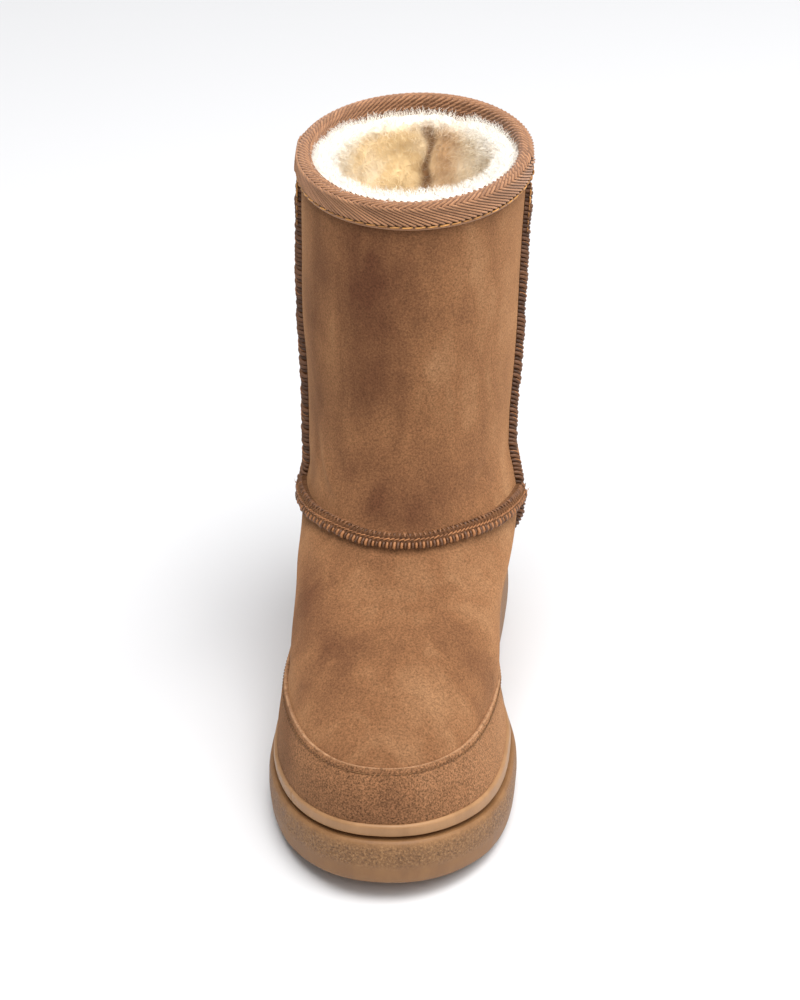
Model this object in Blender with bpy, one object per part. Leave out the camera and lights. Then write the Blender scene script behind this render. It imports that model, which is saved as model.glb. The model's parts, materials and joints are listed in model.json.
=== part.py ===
"""Right sheepskin boot: hollow suede upper with overlays and whipped seams, wool
lining, woven collar binding, wool insole, rubber rand and moulded rubber outsole.
Metres, +Z up, toe towards -Y, medial side towards +X, standing on Z = 0."""
import math

import bmesh
import bpy
import numpy as np

# Foot and sole
SOLE_LENGTH = 0.290
BALL_WIDTH = 0.103
SOLE_FLARE = 0.0062
HEEL_STACK = 0.031
BALL_STACK = 0.0255
TOE_SPRING = 0.009
TOE_SPRING_SHARE = 0.30
ARCH_RISE = 0.003
HEEL_BEVEL = 0.002
SOLE_SLOT = 0.0016
PLATFORM_EDGE = 0.0006
TREAD_DEPTH = 0.003
TREAD_WIDTH = 0.004
TREAD_PITCH = 0.0135
TREAD_BORDER = 0.009

# Upper
INSTEP_HEIGHT = 0.118
COLLAR_HEIGHT = 0.2705
COLLAR_WIDTH = 0.104
COLLAR_DEPTH = 0.1245
COLLAR_SETBACK = 0.017
MIDLINE = 0.0016
WALL = 0.0024
GAP = 0.0003

# Trim
RAND_HEIGHT = 0.0066
RAND_THICKNESS = 0.0032
OVERLAY_THICKNESS = 0.0016
SEAT_GAP = 0.0006
RIDGE_WIDTH = 0.0044
RIDGE_HEIGHT = 0.0046
RIDGE_TUCK = 0.45
RIDGE_TUCK_LENGTH = 0.030
ANKLE_RIDGE_WIDTH = 0.0056
ANKLE_RIDGE_HEIGHT = 0.0054
BINDING_THICKNESS = 0.0014
BINDING_OUTER_LEG = 0.0100
BINDING_INNER_LEG = 0.009

# Inside
INSOLE_THICKNESS = 0.006
PILE_DEPTH = 0.009
PILE_BELOW_COLLAR = 0.0040
PILE_BACK_DROP = 0.0022
LOCK_SWELL = 0.0014
LOCKS_ROUND = 16

# Half widths of the feather line as shares of the ball width,
# at shares of the foot's length from the toe
PLAN = (
    # along, lateral, medial
    (0.00, 0.440, 0.450),
    (0.12, 0.480, 0.478),
    (0.30, 0.522, 0.476),
    (0.45, 0.498, 0.394),
    (0.62, 0.430, 0.322),
    (0.80, 0.395, 0.338),
    (1.00, 0.375, 0.345),
)
PLAN_ALONG, PLAN_LATERAL, PLAN_MEDIAL = range(3)

# Level sections of the upper. Level 0 is the feather line, 1 the ankle seam at
# the front, 2 the collar. Front and back reach run from the collar's ends (0)
# to the feather line's ends (1); foot is the share of the foot's plan in the
# width; lean is a share of the collar width towards the medial side.
SECTIONS = (
    # level, front, back, width, foot, toe round, heel round, lean
    (0.00, 1.000, 1.00, 0.985, 1.00, 0.275, 0.160, 0.000),
    (0.10, 1.004, 1.06, 0.979, 1.00, 0.270, 0.160, -0.004),
    (0.22, 0.990, 1.10, 0.951, 1.00, 0.280, 0.170, -0.009),
    (0.32, 0.957, 1.08, 0.934, 1.00, 0.300, 0.180, -0.008),
    (0.42, 0.894, 1.02, 0.940, 0.88, 0.335, 0.210, -0.004),
    (0.52, 0.797, 0.93, 0.966, 0.66, 0.380, 0.250, -0.007),
    (0.62, 0.676, 0.82, 0.988, 0.44, 0.430, 0.300, -0.007),
    (0.72, 0.536, 0.70, 1.016, 0.26, 0.470, 0.350, -0.006),
    (0.82, 0.377, 0.58, 1.012, 0.14, 0.500, 0.400, -0.012),
    (0.91, 0.291, 0.47, 0.978, 0.06, 0.500, 0.450, -0.016),
    (1.00, 0.212, 0.37, 0.942, 0.02, 0.500, 0.480, -0.018),
    (1.05, 0.159, 0.31, 0.926, 0.01, 0.500, 0.480, -0.027),
    (1.09, 0.132, 0.26, 0.919, 0.00, 0.500, 0.500, -0.033),
    (1.18, 0.089, 0.17, 0.922, 0.00, 0.500, 0.500, -0.033),
    (1.32, 0.051, 0.06, 0.940, 0.00, 0.500, 0.500, -0.030),
    (1.50, 0.037, 0.00, 0.962, 0.00, 0.500, 0.500, -0.031),
    (1.75, 0.020, 0.00, 0.972, 0.00, 0.500, 0.500, -0.023),
    (1.90, 0.008, 0.00, 0.980, 0.00, 0.500, 0.500, -0.014),
    (2.00, 0.000, 0.00, 0.984, 0.00, 0.500, 0.500, -0.009),
)
LEVEL, FRONT, BACK, WIDTH, FOOT, TOE_ROUND, HEEL_ROUND, LEAN = range(8)

# Side wall of the outsole: reach beyond the feather line as a share of the
# flare, height as a share between the tread's edge (0) and the lip (1)
SOLE_WALL = (
    # reach, height
    (0.68, 1.00),
    (0.86, 0.955),
    (0.97, 0.80),
    (1.00, 0.58),
    (0.95, 0.33),
    (0.80, 0.10),
    (0.45, 0.00),
)

# Where the side seams run, as shares of the foot's length from the toe
SIDE_SEAM = (
    # level, along
    (0.00, 0.655),
    (0.40, 0.645),
    (0.85, 0.635),
    (1.15, 0.660),
    (1.50, 0.695),
    (2.00, 0.715),
)

# Height of the ankle seam at shares of the way from the front to a side seam
ANKLE_SEAM = (
    # way, level
    (0.00, 1.000),
    (0.30, 0.992),
    (0.65, 0.950),
    (1.00, 0.890),
)

# Top edges of the two overlays, by the way from the centre line to a side seam
GUARD_TOP = (
    # way, level
    (0.00, 0.355),
    (0.22, 0.357),
    (0.45, 0.375),
    (0.70, 0.410),
    (1.00, 0.440),
)
COUNTER_TOP = (
    # way, level
    (0.00, 0.760),
    (0.35, 0.730),
    (0.70, 0.560),
    (1.00, 0.400),
)

UPPER_LEVELS = (
    0.0, 0.06, 0.12, 0.18, 0.25, 0.32, 0.40, 0.48, 0.56, 0.64, 0.71, 0.78, 0.84,
    0.89, 0.93, 0.97, 1.01, 1.05, 1.10, 1.16, 1.24, 1.36, 1.50, 1.66, 1.83, 2.0,
)
INNER_LEVELS = (0.0, 0.10, 0.25, 0.40, 0.56, 0.71, 0.84, 0.93, 1.01, 1.07,
                1.14, 1.24, 1.40, 1.62, 1.84, 2.0)
PILE_LEVELS = (0.10, 0.25, 0.40, 0.56, 0.71, 0.84, 0.93, 1.01, 1.07, 1.14,
               1.24, 1.40, 1.62, 1.80)
PILE_FACE_LEVELS = (0.10, 0.32, 0.56, 0.78, 0.97, 1.12, 1.34, 1.74)
COLUMNS = 44

HALF = SOLE_LENGTH / 2
TOE_Y = -(HALF - SOLE_FLARE)
HEEL_Y = HALF - SOLE_FLARE
FOOT_LENGTH = HEEL_Y - TOE_Y
COLLAR_BACK_Y = HEEL_Y - COLLAR_SETBACK
COLLAR_FRONT_Y = COLLAR_BACK_Y - COLLAR_DEPTH


def column(table, which, x):
    """One column of a table at x, through a curve that keeps the table's turns."""
    xs = np.array([row[0] for row in table], float)
    ys = np.array([row[which] for row in table], float)
    x = np.clip(np.asarray(x, float), xs[0], xs[-1])
    slope = np.diff(ys) / np.diff(xs)
    tangent = np.zeros_like(ys)
    tangent[0] = slope[0]
    tangent[-1] = slope[-1]
    rising = slope[:-1] * slope[1:] > 0
    total = np.where(rising, slope[:-1] + slope[1:], 1.0)
    tangent[1:-1] = np.where(rising, 2 * slope[:-1] * slope[1:] / total, 0.0)
    i = np.clip(np.searchsorted(xs, x, side="right") - 1, 0, len(xs) - 2)
    span = xs[i + 1] - xs[i]
    u = (x - xs[i]) / span
    start = (1 + 2 * u) * (1 - u) ** 2 * ys[i] + u * (1 - u) ** 2 * span * tangent[i]
    end = u * u * (3 - 2 * u) * ys[i + 1] + u * u * (u - 1) * span * tangent[i + 1]
    return start + end


def ease(x):
    """Smooth step from 0 to 1."""
    x = np.clip(x, 0, 1)
    return x * x * (3 - 2 * x)


def along(y):
    """Share of the foot's length from the toe."""
    return (y - TOE_Y) / FOOT_LENGTH


def ground(y):
    """Height of the outsole's underside: toe spring, arch and heel bevel."""
    t = along(y)
    toe = TOE_SPRING * np.clip(1 - t / TOE_SPRING_SHARE, 0, 1.2) ** 2
    arch = ARCH_RISE * np.sin(math.pi * np.clip((t - 0.50) / 0.20, 0, 1)) ** 2
    heel = HEEL_BEVEL * np.clip((t - 0.93) / 0.07, 0, 1.3) ** 2
    return toe + arch + heel


def seat(y):
    """Height of the feather line, where the upper meets the sole."""
    t = along(y)
    toe = TOE_SPRING * np.clip(1 - t / TOE_SPRING_SHARE, 0, 1.2) ** 2
    return BALL_STACK + (HEEL_STACK - BALL_STACK) * ease((t - 0.35) / 0.4) + toe


class Form:
    """Outer surface of the upper, sampled closely, read at (level, way round).

    The way round runs 0 at the front, +1 at the back by the medial side and -1
    at the back by the lateral side, by length along each section.
    """

    def __init__(self, rows=161, half=96):
        self.levels = np.linspace(0, 2, rows)
        self.ways = np.linspace(-1, 1, 2 * half + 1)
        grid = np.array([self.section(level, half) for level in self.levels])
        self.points = grid
        across = np.empty_like(grid)
        across[:, 1:-1] = grid[:, 2:] - grid[:, :-2]
        across[:, 0] = across[:, -1] = grid[:, 1] - grid[:, -2]
        upward = np.gradient(grid, axis=0)
        normal = np.cross(across, upward)
        self.normals = normal / np.linalg.norm(normal, axis=2)[..., None]
        flat = np.stack([across[0, :, 1], -across[0, :, 0], 0 * across[0, :, 0]], 1)
        self.flat = flat / np.linalg.norm(flat, axis=1)[:, None]

    def section(self, level, half):
        """Points of one section from the back, by the lateral side, to the back."""
        medial = self.half_section(level, 1, half)
        lateral = self.half_section(level, -1, half)
        return np.concatenate([lateral[::-1], medial[1:]])

    def half_section(self, level, side, half):
        """Front to back half of a section, evenly spaced."""
        s = (1 - np.cos(np.linspace(0, math.pi, 240))) / 2
        front = COLLAR_FRONT_Y + (TOE_Y - COLLAR_FRONT_Y) * column(SECTIONS, FRONT, level)
        back = COLLAR_BACK_Y + (HEEL_Y - COLLAR_BACK_Y) * column(SECTIONS, BACK, level)
        y = front + (back - front) * s
        foot = column(SECTIONS, FOOT, level)
        plan = column(PLAN, PLAN_MEDIAL if side > 0 else PLAN_LATERAL, along(y)) * BALL_WIDTH
        width = foot * plan + (1 - foot) * COLLAR_WIDTH / 2
        width = width * column(SECTIONS, WIDTH, level)
        toe = np.clip(1 - s / column(SECTIONS, TOE_ROUND, level), 0, 1)
        heel = np.clip(1 - (1 - s) / column(SECTIONS, HEEL_ROUND, level), 0, 1)
        toe_power = 2.0 + 0.25 * foot
        heel_power = 2.0 + 0.15 * foot
        width = width * (1 - toe ** toe_power) ** (1 / toe_power)
        width = width * (1 - heel ** heel_power) ** (1 / heel_power)
        x = MIDLINE + side * width + COLLAR_WIDTH * column(SECTIONS, LEAN, level)
        height = HEEL_STACK + (INSTEP_HEIGHT - HEEL_STACK) * min(level, 1)
        height += (COLLAR_HEIGHT - INSTEP_HEIGHT) * max(level - 1, 0)
        z = height + (seat(y) - HEEL_STACK) * max(1 - level, 0) ** 1.3
        curve = np.stack([x, y, z], 1)
        run = np.concatenate([[0], np.cumsum(np.linalg.norm(np.diff(curve, axis=0), axis=1))])
        even = np.linspace(0, run[-1], half + 1)
        return np.stack([np.interp(even, run, curve[:, k]) for k in range(3)], 1)

    def read(self, grid, level, way):
        """Value of a sampled grid between its samples."""
        level, way = np.broadcast_arrays(np.asarray(level, float), np.asarray(way, float))
        row = np.clip(level / 2 * (len(self.levels) - 1), 0, len(self.levels) - 1)
        col = np.mod(way + 1, 2) / 2 * (len(self.ways) - 1)
        i = np.minimum(row.astype(int), len(self.levels) - 2)
        j = np.minimum(col.astype(int), len(self.ways) - 2)
        u = (row - i)[..., None]
        v = (col - j)[..., None]
        low = grid[i, j] * (1 - v) + grid[i, j + 1] * v
        high = grid[i + 1, j] * (1 - v) + grid[i + 1, j + 1] * v
        return low * (1 - u) + high * u

    def normal(self, level, way):
        """Outward direction of the surface."""
        n = self.read(self.normals, level, way)
        return n / np.linalg.norm(n, axis=-1)[..., None]

    def at(self, level, way, out=0.0):
        """Point on the surface, moved outward."""
        out = np.asarray(out, float)
        return self.read(self.points, level, way) + self.normal(level, way) * out[..., None]

    def feather(self, way, out):
        """Point of the feather line, moved outward on the level."""
        col = (np.asarray(way, float) + 1) / 2 * (len(self.ways) - 1)
        j = np.minimum(col.astype(int), len(self.ways) - 2)
        v = (col - j)[..., None]
        flat = self.flat[j] * (1 - v) + self.flat[j + 1] * v
        flat = flat / np.linalg.norm(flat, axis=-1)[..., None]
        return self.read(self.points, 0.0, way) + flat * np.asarray(out, float)[..., None]

    def way_at(self, level, share, side):
        """Way round where a section passes a share of the foot's length."""
        half = len(self.ways) // 2
        row = self.read(self.points, level, self.ways)
        y = row[half:, 1] if side > 0 else row[half::-1, 1]
        return side * np.interp(TOE_Y + share * FOOT_LENGTH, y, np.linspace(0, 1, half + 1))


FORM = Form()


def ways_round(count):
    """Even ways round, from the back by the lateral side, without a repeat."""
    return np.linspace(-1, 1, count, endpoint=False)


def seam_way(level, side):
    """Way round of a side seam at a level."""
    return FORM.way_at(level, float(column(SIDE_SEAM, 1, level)), side)


def collar_level(drop):
    """Level that lies a drop below the collar."""
    return 2 - np.asarray(drop, float) / (COLLAR_HEIGHT - INSTEP_HEIGHT)


def foot_level(rise):
    """Level that lies a rise above the feather line."""
    return rise / (INSTEP_HEIGHT - HEEL_STACK)


def material(name, rgb, roughness):
    """Plain principled material."""
    made = bpy.data.materials.new(name)
    made.use_nodes = True
    shader = made.node_tree.nodes["Principled BSDF"]
    shader.inputs["Base Color"].default_value = (*rgb, 1)
    shader.inputs["Roughness"].default_value = roughness
    shader.inputs["Metallic"].default_value = 0.0
    return made


def solid(name, vertices, faces, made, sharp=40):
    """One closed body, placed about the middle of its bounds."""
    vertices = np.asarray(vertices, float)
    centre = (vertices.min(0) + vertices.max(0)) / 2
    mesh = bpy.data.meshes.new(name)
    mesh.from_pydata((vertices - centre).tolist(), [], [tuple(int(i) for i in f) for f in faces])
    body = bmesh.new()
    body.from_mesh(mesh)
    bmesh.ops.recalc_face_normals(body, faces=body.faces)
    body.to_mesh(mesh)
    body.free()
    for face in mesh.polygons:
        face.use_smooth = True
    mesh.set_sharp_from_angle(angle=math.radians(sharp))
    mesh.materials.append(made)
    thing = bpy.data.objects.new(name, mesh)
    thing.location = centre.tolist()
    bpy.context.scene.collection.objects.link(thing)
    return thing


def loft(rings, closed_rows, closed_columns=True):
    """Faces that join rows of equal length, optionally back to the first row."""
    rows, columns = rings.shape[:2]
    faces = []
    for r in range(rows if closed_rows else rows - 1):
        below = r * columns
        above = ((r + 1) % rows) * columns
        for c in range(columns if closed_columns else columns - 1):
            d = (c + 1) % columns
            faces.append((below + c, below + d, above + d, above + c))
    return faces


def sleeve(name, rings, made, sharp=40):
    """Body whose rings run up one side and down the other."""
    rings = np.asarray(rings)
    return solid(name, rings.reshape(-1, 3), loft(rings, True), made, sharp)


def strip(name, sections, made, sharp=40):
    """Body swept through closed sections, with flat ends."""
    sections = np.asarray(sections)
    count, around = sections.shape[:2]
    faces = loft(sections, False)
    faces.append(tuple(range(around))[::-1])
    faces.append(tuple((count - 1) * around + i for i in range(around)))
    return solid(name, sections.reshape(-1, 3), faces, made, sharp)


def ladder(first, columns, up):
    """Faces that close a ring by rungs between its lateral and medial columns."""
    half = columns // 2
    lateral = [first + half - i for i in range(half + 1)]
    medial = [first + (half + i) % columns for i in range(half + 1)]
    faces = []
    for i in range(half):
        rung = [lateral[i], medial[i], medial[i + 1], lateral[i + 1]]
        rung = [v for n, v in enumerate(rung) if v not in rung[:n]]
        faces.append(tuple(rung if up else rung[::-1]))
    return faces


def plug(name, rings, made, sharp=40):
    """Body of stacked rings closed by rungs at both ends."""
    rings = np.asarray(rings)
    count, columns = rings.shape[:2]
    faces = loft(rings, False)
    faces += ladder(0, columns, False)
    faces += ladder((count - 1) * columns, columns, True)
    return solid(name, rings.reshape(-1, 3), faces, made, sharp)


def build_upper(made):
    """Suede shell from the feather line to the collar, open at both ends."""
    ways = ways_round(COLUMNS)
    outer = [FORM.at(level, ways) for level in UPPER_LEVELS]
    inner = [FORM.at(level, ways, -WALL) for level in INNER_LEVELS[::-1]]
    return sleeve("upper", outer + inner, made)


def build_outsole(made):
    """Rubber outsole: platform, slot, lip, rounded wall and treaded underside."""
    ways = ways_round(COLUMNS)
    platform = FORM.feather(ways, PLATFORM_EDGE)
    rings = [platform - [0, 0, GAP], platform - [0, 0, SOLE_SLOT]]
    lip = seat(platform[:, 1]) - SOLE_SLOT
    for reach, height in SOLE_WALL:
        ring = FORM.feather(ways, SOLE_FLARE * reach)
        low = ground(ring[:, 1])
        ring[:, 2] = low + (lip - low) * height
        rings.append(ring)
    inset = FORM.feather(ways, -0.004)
    inset[:, 2] = ground(inset[:, 1])
    rings.append(inset)
    outsole = plug("outsole", rings[::-1], made, 30)
    cut_tread(outsole)
    return outsole


def tread_bar(shell, centre, half_size):
    """One box added to the cutter."""
    made = bmesh.ops.create_cube(shell, size=2)
    for vertex in made["verts"]:
        for k in range(3):
            vertex.co[k] = centre[k] + vertex.co[k] * half_size[k]


def cut_tread(outsole):
    """Transverse grooves across the forefoot and the heel."""
    shell = bmesh.new()
    half = len(FORM.ways) // 2
    feather = FORM.points[0]
    count = int(FOOT_LENGTH / TREAD_PITCH)
    for i in range(1, count):
        t = i * TREAD_PITCH / FOOT_LENGTH
        if 0.50 < t < 0.70 or t < 0.08 or t > 0.93:
            continue
        y = TOE_Y + t * FOOT_LENGTH
        left = np.interp(y, feather[half::-1, 1], feather[half::-1, 0]) + TREAD_BORDER
        right = np.interp(y, feather[half:, 1], feather[half:, 0]) - TREAD_BORDER
        top = float(ground(y)) + TREAD_DEPTH
        low = -0.004
        tread_bar(shell, ((left + right) / 2, y, (top + low) / 2),
                  ((right - left) / 2, TREAD_WIDTH / 2, (top - low) / 2))
    mesh = bpy.data.meshes.new("tread_cutter")
    bmesh.ops.recalc_face_normals(shell, faces=shell.faces)
    shell.to_mesh(mesh)
    shell.free()
    cutter = bpy.data.objects.new("tread_cutter", mesh)
    cutter.hide_render = True
    cutter.display_type = "WIRE"
    bpy.context.scene.collection.objects.link(cutter)
    cut = outsole.modifiers.new("tread", "BOOLEAN")
    cut.object = cutter
    cut.operation = "DIFFERENCE"
    cut.solver = "EXACT"


def build_rand(made):
    """Rubber strip round the foot of the upper, above the slot."""
    ways = ways_round(COLUMNS)
    low = foot_level(0.0004)
    high = foot_level(RAND_HEIGHT)
    face = GAP + RAND_THICKNESS
    profile = (
        (low, GAP), (low, face - 0.0004), (foot_level(0.0012), face),
        (foot_level(RAND_HEIGHT - 0.0016), face), (high, face - 0.0010), (high, GAP),
    )
    rings = [FORM.at(level, ways, out) for level, out in profile]
    return sleeve("rand", rings, made, 50)


def overlay(name, ways, tops, made, rows):
    """Cut piece of suede that lies on the upper, from the rand to its top edge."""
    low = foot_level(RAND_HEIGHT + GAP)
    levels = np.linspace(0, 1, rows)[:, None] * (np.asarray(tops) - low)[None] + low
    outer = FORM.at(levels, ways[None], SEAT_GAP + OVERLAY_THICKNESS)
    inner = FORM.at(levels, ways[None], SEAT_GAP)
    count = len(ways)
    sheet = np.concatenate([outer, inner[::-1]])
    sections = sheet.transpose(1, 0, 2)
    return strip(name, sections[:count], made, 35)


def overlay_ends(side, level):
    """Ways round of the overlays' edges beside a side seam: front and back."""
    way = seam_way(level, side)
    point = FORM.at(level, way)
    nearby = FORM.at(level, way + 0.01 * side)
    step = 0.01 * (RIDGE_WIDTH / 2 + 0.0009) / np.linalg.norm(nearby - point)
    return way - side * step, way + side * step


def build_toe_guard(made, columns=31):
    """Overlay round the toe, from side seam to side seam."""
    share = np.linspace(-1, 1, columns)
    low = min(overlay_ends(-1, level)[0] * -1 for level in (0.08, 0.2, 0.3, 0.44))
    high = min(overlay_ends(1, level)[0] for level in (0.08, 0.2, 0.3, 0.44))
    ways = np.where(share < 0, share * low, share * high)
    tops = column(GUARD_TOP, 1, np.abs(share))
    return overlay("toe_guard", ways, tops, made, 8)


def build_heel_counter(made, columns=29):
    """Overlay round the heel, from side seam to side seam."""
    share = np.linspace(-1, 1, columns)
    lateral = max(-overlay_ends(-1, level)[1] for level in (0.08, 0.2, 0.3, 0.4))
    medial = max(overlay_ends(1, level)[1] for level in (0.08, 0.2, 0.3, 0.4))
    ways = np.where(share < 0, 1 + share * (1 - medial), 1 + share * (1 - lateral))
    ways = np.where(ways > 1, ways - 2, ways)
    tops = column(COUNTER_TOP, 1, np.abs(share))
    return overlay("heel_counter", ways, tops, made, 9)


def ridge(name, levels, ways, made, width=RIDGE_WIDTH, height=RIDGE_HEIGHT):
    """Raised seam: two edges whipped together, standing out from the upper."""
    path = FORM.at(levels, ways)
    run = np.gradient(path, axis=0)
    side = np.cross(run, FORM.normal(levels, ways))
    side = side / np.linalg.norm(side, axis=1)[:, None] * width
    small = 0.004
    climb = (FORM.at(levels + small, ways) - FORM.at(levels - small, ways)) / (2 * small)
    turn = (FORM.at(levels, ways + small) - FORM.at(levels, ways - small)) / (2 * small)
    steps = [np.linalg.lstsq(np.stack([a, b], 1), c, rcond=None)[0]
             for a, b, c in zip(climb, turn, side)]
    level_step, way_step = np.array(steps).T
    profile = (
        (-0.50, 0.00), (0.50, 0.00), (0.52, 0.50), (0.34, 0.88),
        (0.00, 1.00), (-0.34, 0.88), (-0.52, 0.50),
    )
    sections = []
    for across, rise in profile:
        out = SEAT_GAP + rise * height
        sections.append(FORM.at(levels + level_step * across, ways + way_step * across, out))
    return strip(name, np.array(sections).transpose(1, 0, 2), made, 60)


def tucked(levels):
    """Height of a ridge that runs up under the binding, lower near its top."""
    drop = (2 - levels) * (COLLAR_HEIGHT - INSTEP_HEIGHT) - BINDING_OUTER_LEG
    return RIDGE_HEIGHT * (RIDGE_TUCK + (1 - RIDGE_TUCK) * ease(drop / RIDGE_TUCK_LENGTH))


def build_side_seam(name, side, made, steps=26):
    """Raised seam from the binding down to the rand."""
    top = float(collar_level(BINDING_OUTER_LEG + 2 * GAP))
    low = foot_level(RAND_HEIGHT + 2 * GAP)
    levels = np.linspace(top, low, steps)
    ways = np.array([seam_way(level, side) for level in levels])
    return ridge(name, levels, ways, made, height=tucked(levels))


def build_ankle_seam(made, steps=31):
    """Raised seam across the front, between the two side seams."""
    share = np.linspace(-1, 1, steps)
    levels = column(ANKLE_SEAM, 1, np.abs(share))
    ways = []
    for part, level in zip(share, levels):
        side = 1 if part > 0 else -1
        end = seam_way(level, side)
        point = FORM.at(level, end)
        nearby = FORM.at(level, end - 0.01 * side)
        trim = 0.01 * (RIDGE_WIDTH * 0.52 + GAP) / np.linalg.norm(nearby - point)
        ways.append(abs(part) * (end - side * trim))
    return ridge("ankle_seam", levels, np.array(ways), made, ANKLE_RIDGE_WIDTH, ANKLE_RIDGE_HEIGHT)


def build_back_seam(made, steps=15):
    """Raised seam down the back, from the binding to the counter."""
    top = float(collar_level(BINDING_OUTER_LEG + 2 * GAP))
    low = COUNTER_TOP[0][1] + 2 * foot_level(GAP)
    levels = np.linspace(top, low, steps)
    return ridge("back_seam", levels, np.ones(steps), made, height=tucked(levels))


def build_binding(made):
    """Tape folded over the collar."""
    ways = ways_round(COLUMNS)
    out = GAP + BINDING_THICKNESS
    back = -WALL - GAP
    deep = back - BINDING_THICKNESS
    profile = (
        (out - 0.0002, -BINDING_OUTER_LEG), (out, -BINDING_OUTER_LEG * 0.5), (out, -0.0004),
        (out - 0.0008, GAP + BINDING_THICKNESS), (deep + 0.0008, GAP + BINDING_THICKNESS),
        (deep, -0.0004), (deep, -BINDING_INNER_LEG), (back, -BINDING_INNER_LEG),
        (back, GAP), (GAP, GAP), (GAP, -BINDING_OUTER_LEG),
    )
    rings = []
    for reach, rise in profile:
        ring = FORM.at(collar_level(max(-rise, 0.0)), ways, reach)
        ring[:, 2] += max(rise, 0.0)
        rings.append(ring)
    return sleeve("collar_binding", rings, made, 50)


def build_lining(made):
    """Wool lining with a rounded, tufted rim below the collar."""
    ways = ways_round(COLUMNS)
    turn = math.pi * (ways * LOCKS_ROUND + 0.5)
    locks = 0.6 * np.sin(turn) + 0.4 * np.sin(turn * 0.37 + 1.1)
    outer = -WALL - 4 * GAP
    beside = -WALL - 3 * GAP - BINDING_THICKNESS
    inner = outer - PILE_DEPTH
    rings = [FORM.at(level, ways, outer) for level in PILE_LEVELS]
    under = BINDING_INNER_LEG + 2 * GAP
    rings.append(FORM.at(collar_level(under), ways, outer))
    rings.append(FORM.at(collar_level(under - 0.0001), ways, beside))
    top = PILE_BELOW_COLLAR - PILE_BACK_DROP * np.cos(math.pi * ways)
    rim = (
        (beside - 0.0002, top + 0.0012, 0.2), (beside - 0.0016, top - 0.0004, 0.7),
        (beside - 0.0040, top + 0.0002, 1.0), (beside - 0.0064, top + 0.0032, 1.0),
        (inner - 0.0014, top + 0.0085, 1.0), (inner - 0.0008, top + 0.0160, 0.6),
    )
    for reach, drop, share in rim:
        down = drop - LOCK_SWELL * locks * share
        rings.append(FORM.at(collar_level(down), ways, reach - 0.0006 * locks * share))
    rings += [FORM.at(level, ways, inner) for level in PILE_FACE_LEVELS[::-1]]
    return sleeve("fleece_lining", rings, made, 60)


def build_insole(made):
    """Footbed that fills the upper's foot, slightly dished."""
    ways = ways_round(COLUMNS)
    edge = -WALL - 2 * GAP
    heights = ((edge, 0.0002), (edge, INSOLE_THICKNESS - 0.0012), (edge - 0.0012, INSOLE_THICKNESS),
               (edge - 0.014, INSOLE_THICKNESS - 0.0012))
    rings = []
    for reach, rise in heights:
        ring = FORM.feather(ways, reach)
        ring[:, 2] += rise
        rings.append(ring)
    return plug("insole", rings, made, 50)


def clear_scene():
    """Removes whatever the scene starts with."""
    for thing in list(bpy.data.objects):
        bpy.data.objects.remove(thing, do_unlink=True)


def main():
    """Builds every piece of the boot."""
    clear_scene()
    suede = material("chestnut_suede", (0.27, 0.15, 0.085), 0.95)
    overlay_suede = material("overlay_suede", (0.25, 0.14, 0.08), 0.95)
    thread = material("whipped_edge", (0.13, 0.065, 0.03), 0.85)
    tape = material("woven_tape", (0.22, 0.12, 0.085), 0.9)
    wool = material("cream_wool", (0.80, 0.72, 0.60), 1.0)
    rubber = material("tan_rubber", (0.30, 0.19, 0.11), 0.65)
    smooth_rubber = material("rand_rubber", (0.28, 0.17, 0.10), 0.5)
    build_outsole(rubber)
    build_rand(smooth_rubber)
    build_upper(suede)
    build_toe_guard(overlay_suede)
    build_heel_counter(overlay_suede)
    build_ankle_seam(thread)
    build_side_seam("side_seam_outer", -1, thread)
    build_side_seam("side_seam_inner", 1, thread)
    build_back_seam(thread)
    build_binding(tape)
    build_lining(wool)
    build_insole(wool)


main()
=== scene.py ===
"""Looks of one right sheepskin boot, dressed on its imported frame.

The boot stands on a pale studio floor and is seen from above its toe. Every
object is in metres, +Z up, toe towards -Y, medial side towards +X.
"""
import json
import logging
import math
from dataclasses import dataclass, field
from enum import Enum
from typing import Sequence

import bmesh
import bpy
import numpy as np
from bpy.types import ID, Material, Mesh, Modifier, Node, NodeSocket, NodeTree, Object
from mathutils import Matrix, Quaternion, Vector, noise

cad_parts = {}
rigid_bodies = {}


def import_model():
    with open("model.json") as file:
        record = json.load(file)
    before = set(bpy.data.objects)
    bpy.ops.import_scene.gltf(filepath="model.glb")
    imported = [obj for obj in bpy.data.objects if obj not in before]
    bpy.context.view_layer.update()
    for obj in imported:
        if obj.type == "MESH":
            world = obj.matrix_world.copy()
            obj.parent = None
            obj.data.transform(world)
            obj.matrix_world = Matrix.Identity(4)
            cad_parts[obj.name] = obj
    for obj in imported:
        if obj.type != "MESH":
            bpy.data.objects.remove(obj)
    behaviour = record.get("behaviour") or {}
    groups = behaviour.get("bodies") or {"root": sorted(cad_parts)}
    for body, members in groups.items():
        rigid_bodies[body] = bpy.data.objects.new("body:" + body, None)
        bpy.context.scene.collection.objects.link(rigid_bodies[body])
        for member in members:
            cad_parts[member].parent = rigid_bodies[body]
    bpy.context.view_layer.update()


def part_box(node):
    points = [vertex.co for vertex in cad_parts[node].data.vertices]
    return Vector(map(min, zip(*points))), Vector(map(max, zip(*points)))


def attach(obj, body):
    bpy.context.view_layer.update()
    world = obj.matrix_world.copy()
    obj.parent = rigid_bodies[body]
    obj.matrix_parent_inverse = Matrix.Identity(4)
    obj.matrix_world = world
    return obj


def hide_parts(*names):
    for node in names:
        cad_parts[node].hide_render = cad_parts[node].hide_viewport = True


LOG = logging.getLogger("boot")
MM = 0.001
FULL_TURN = 6.283

Table = Sequence[Sequence[float]]

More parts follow.
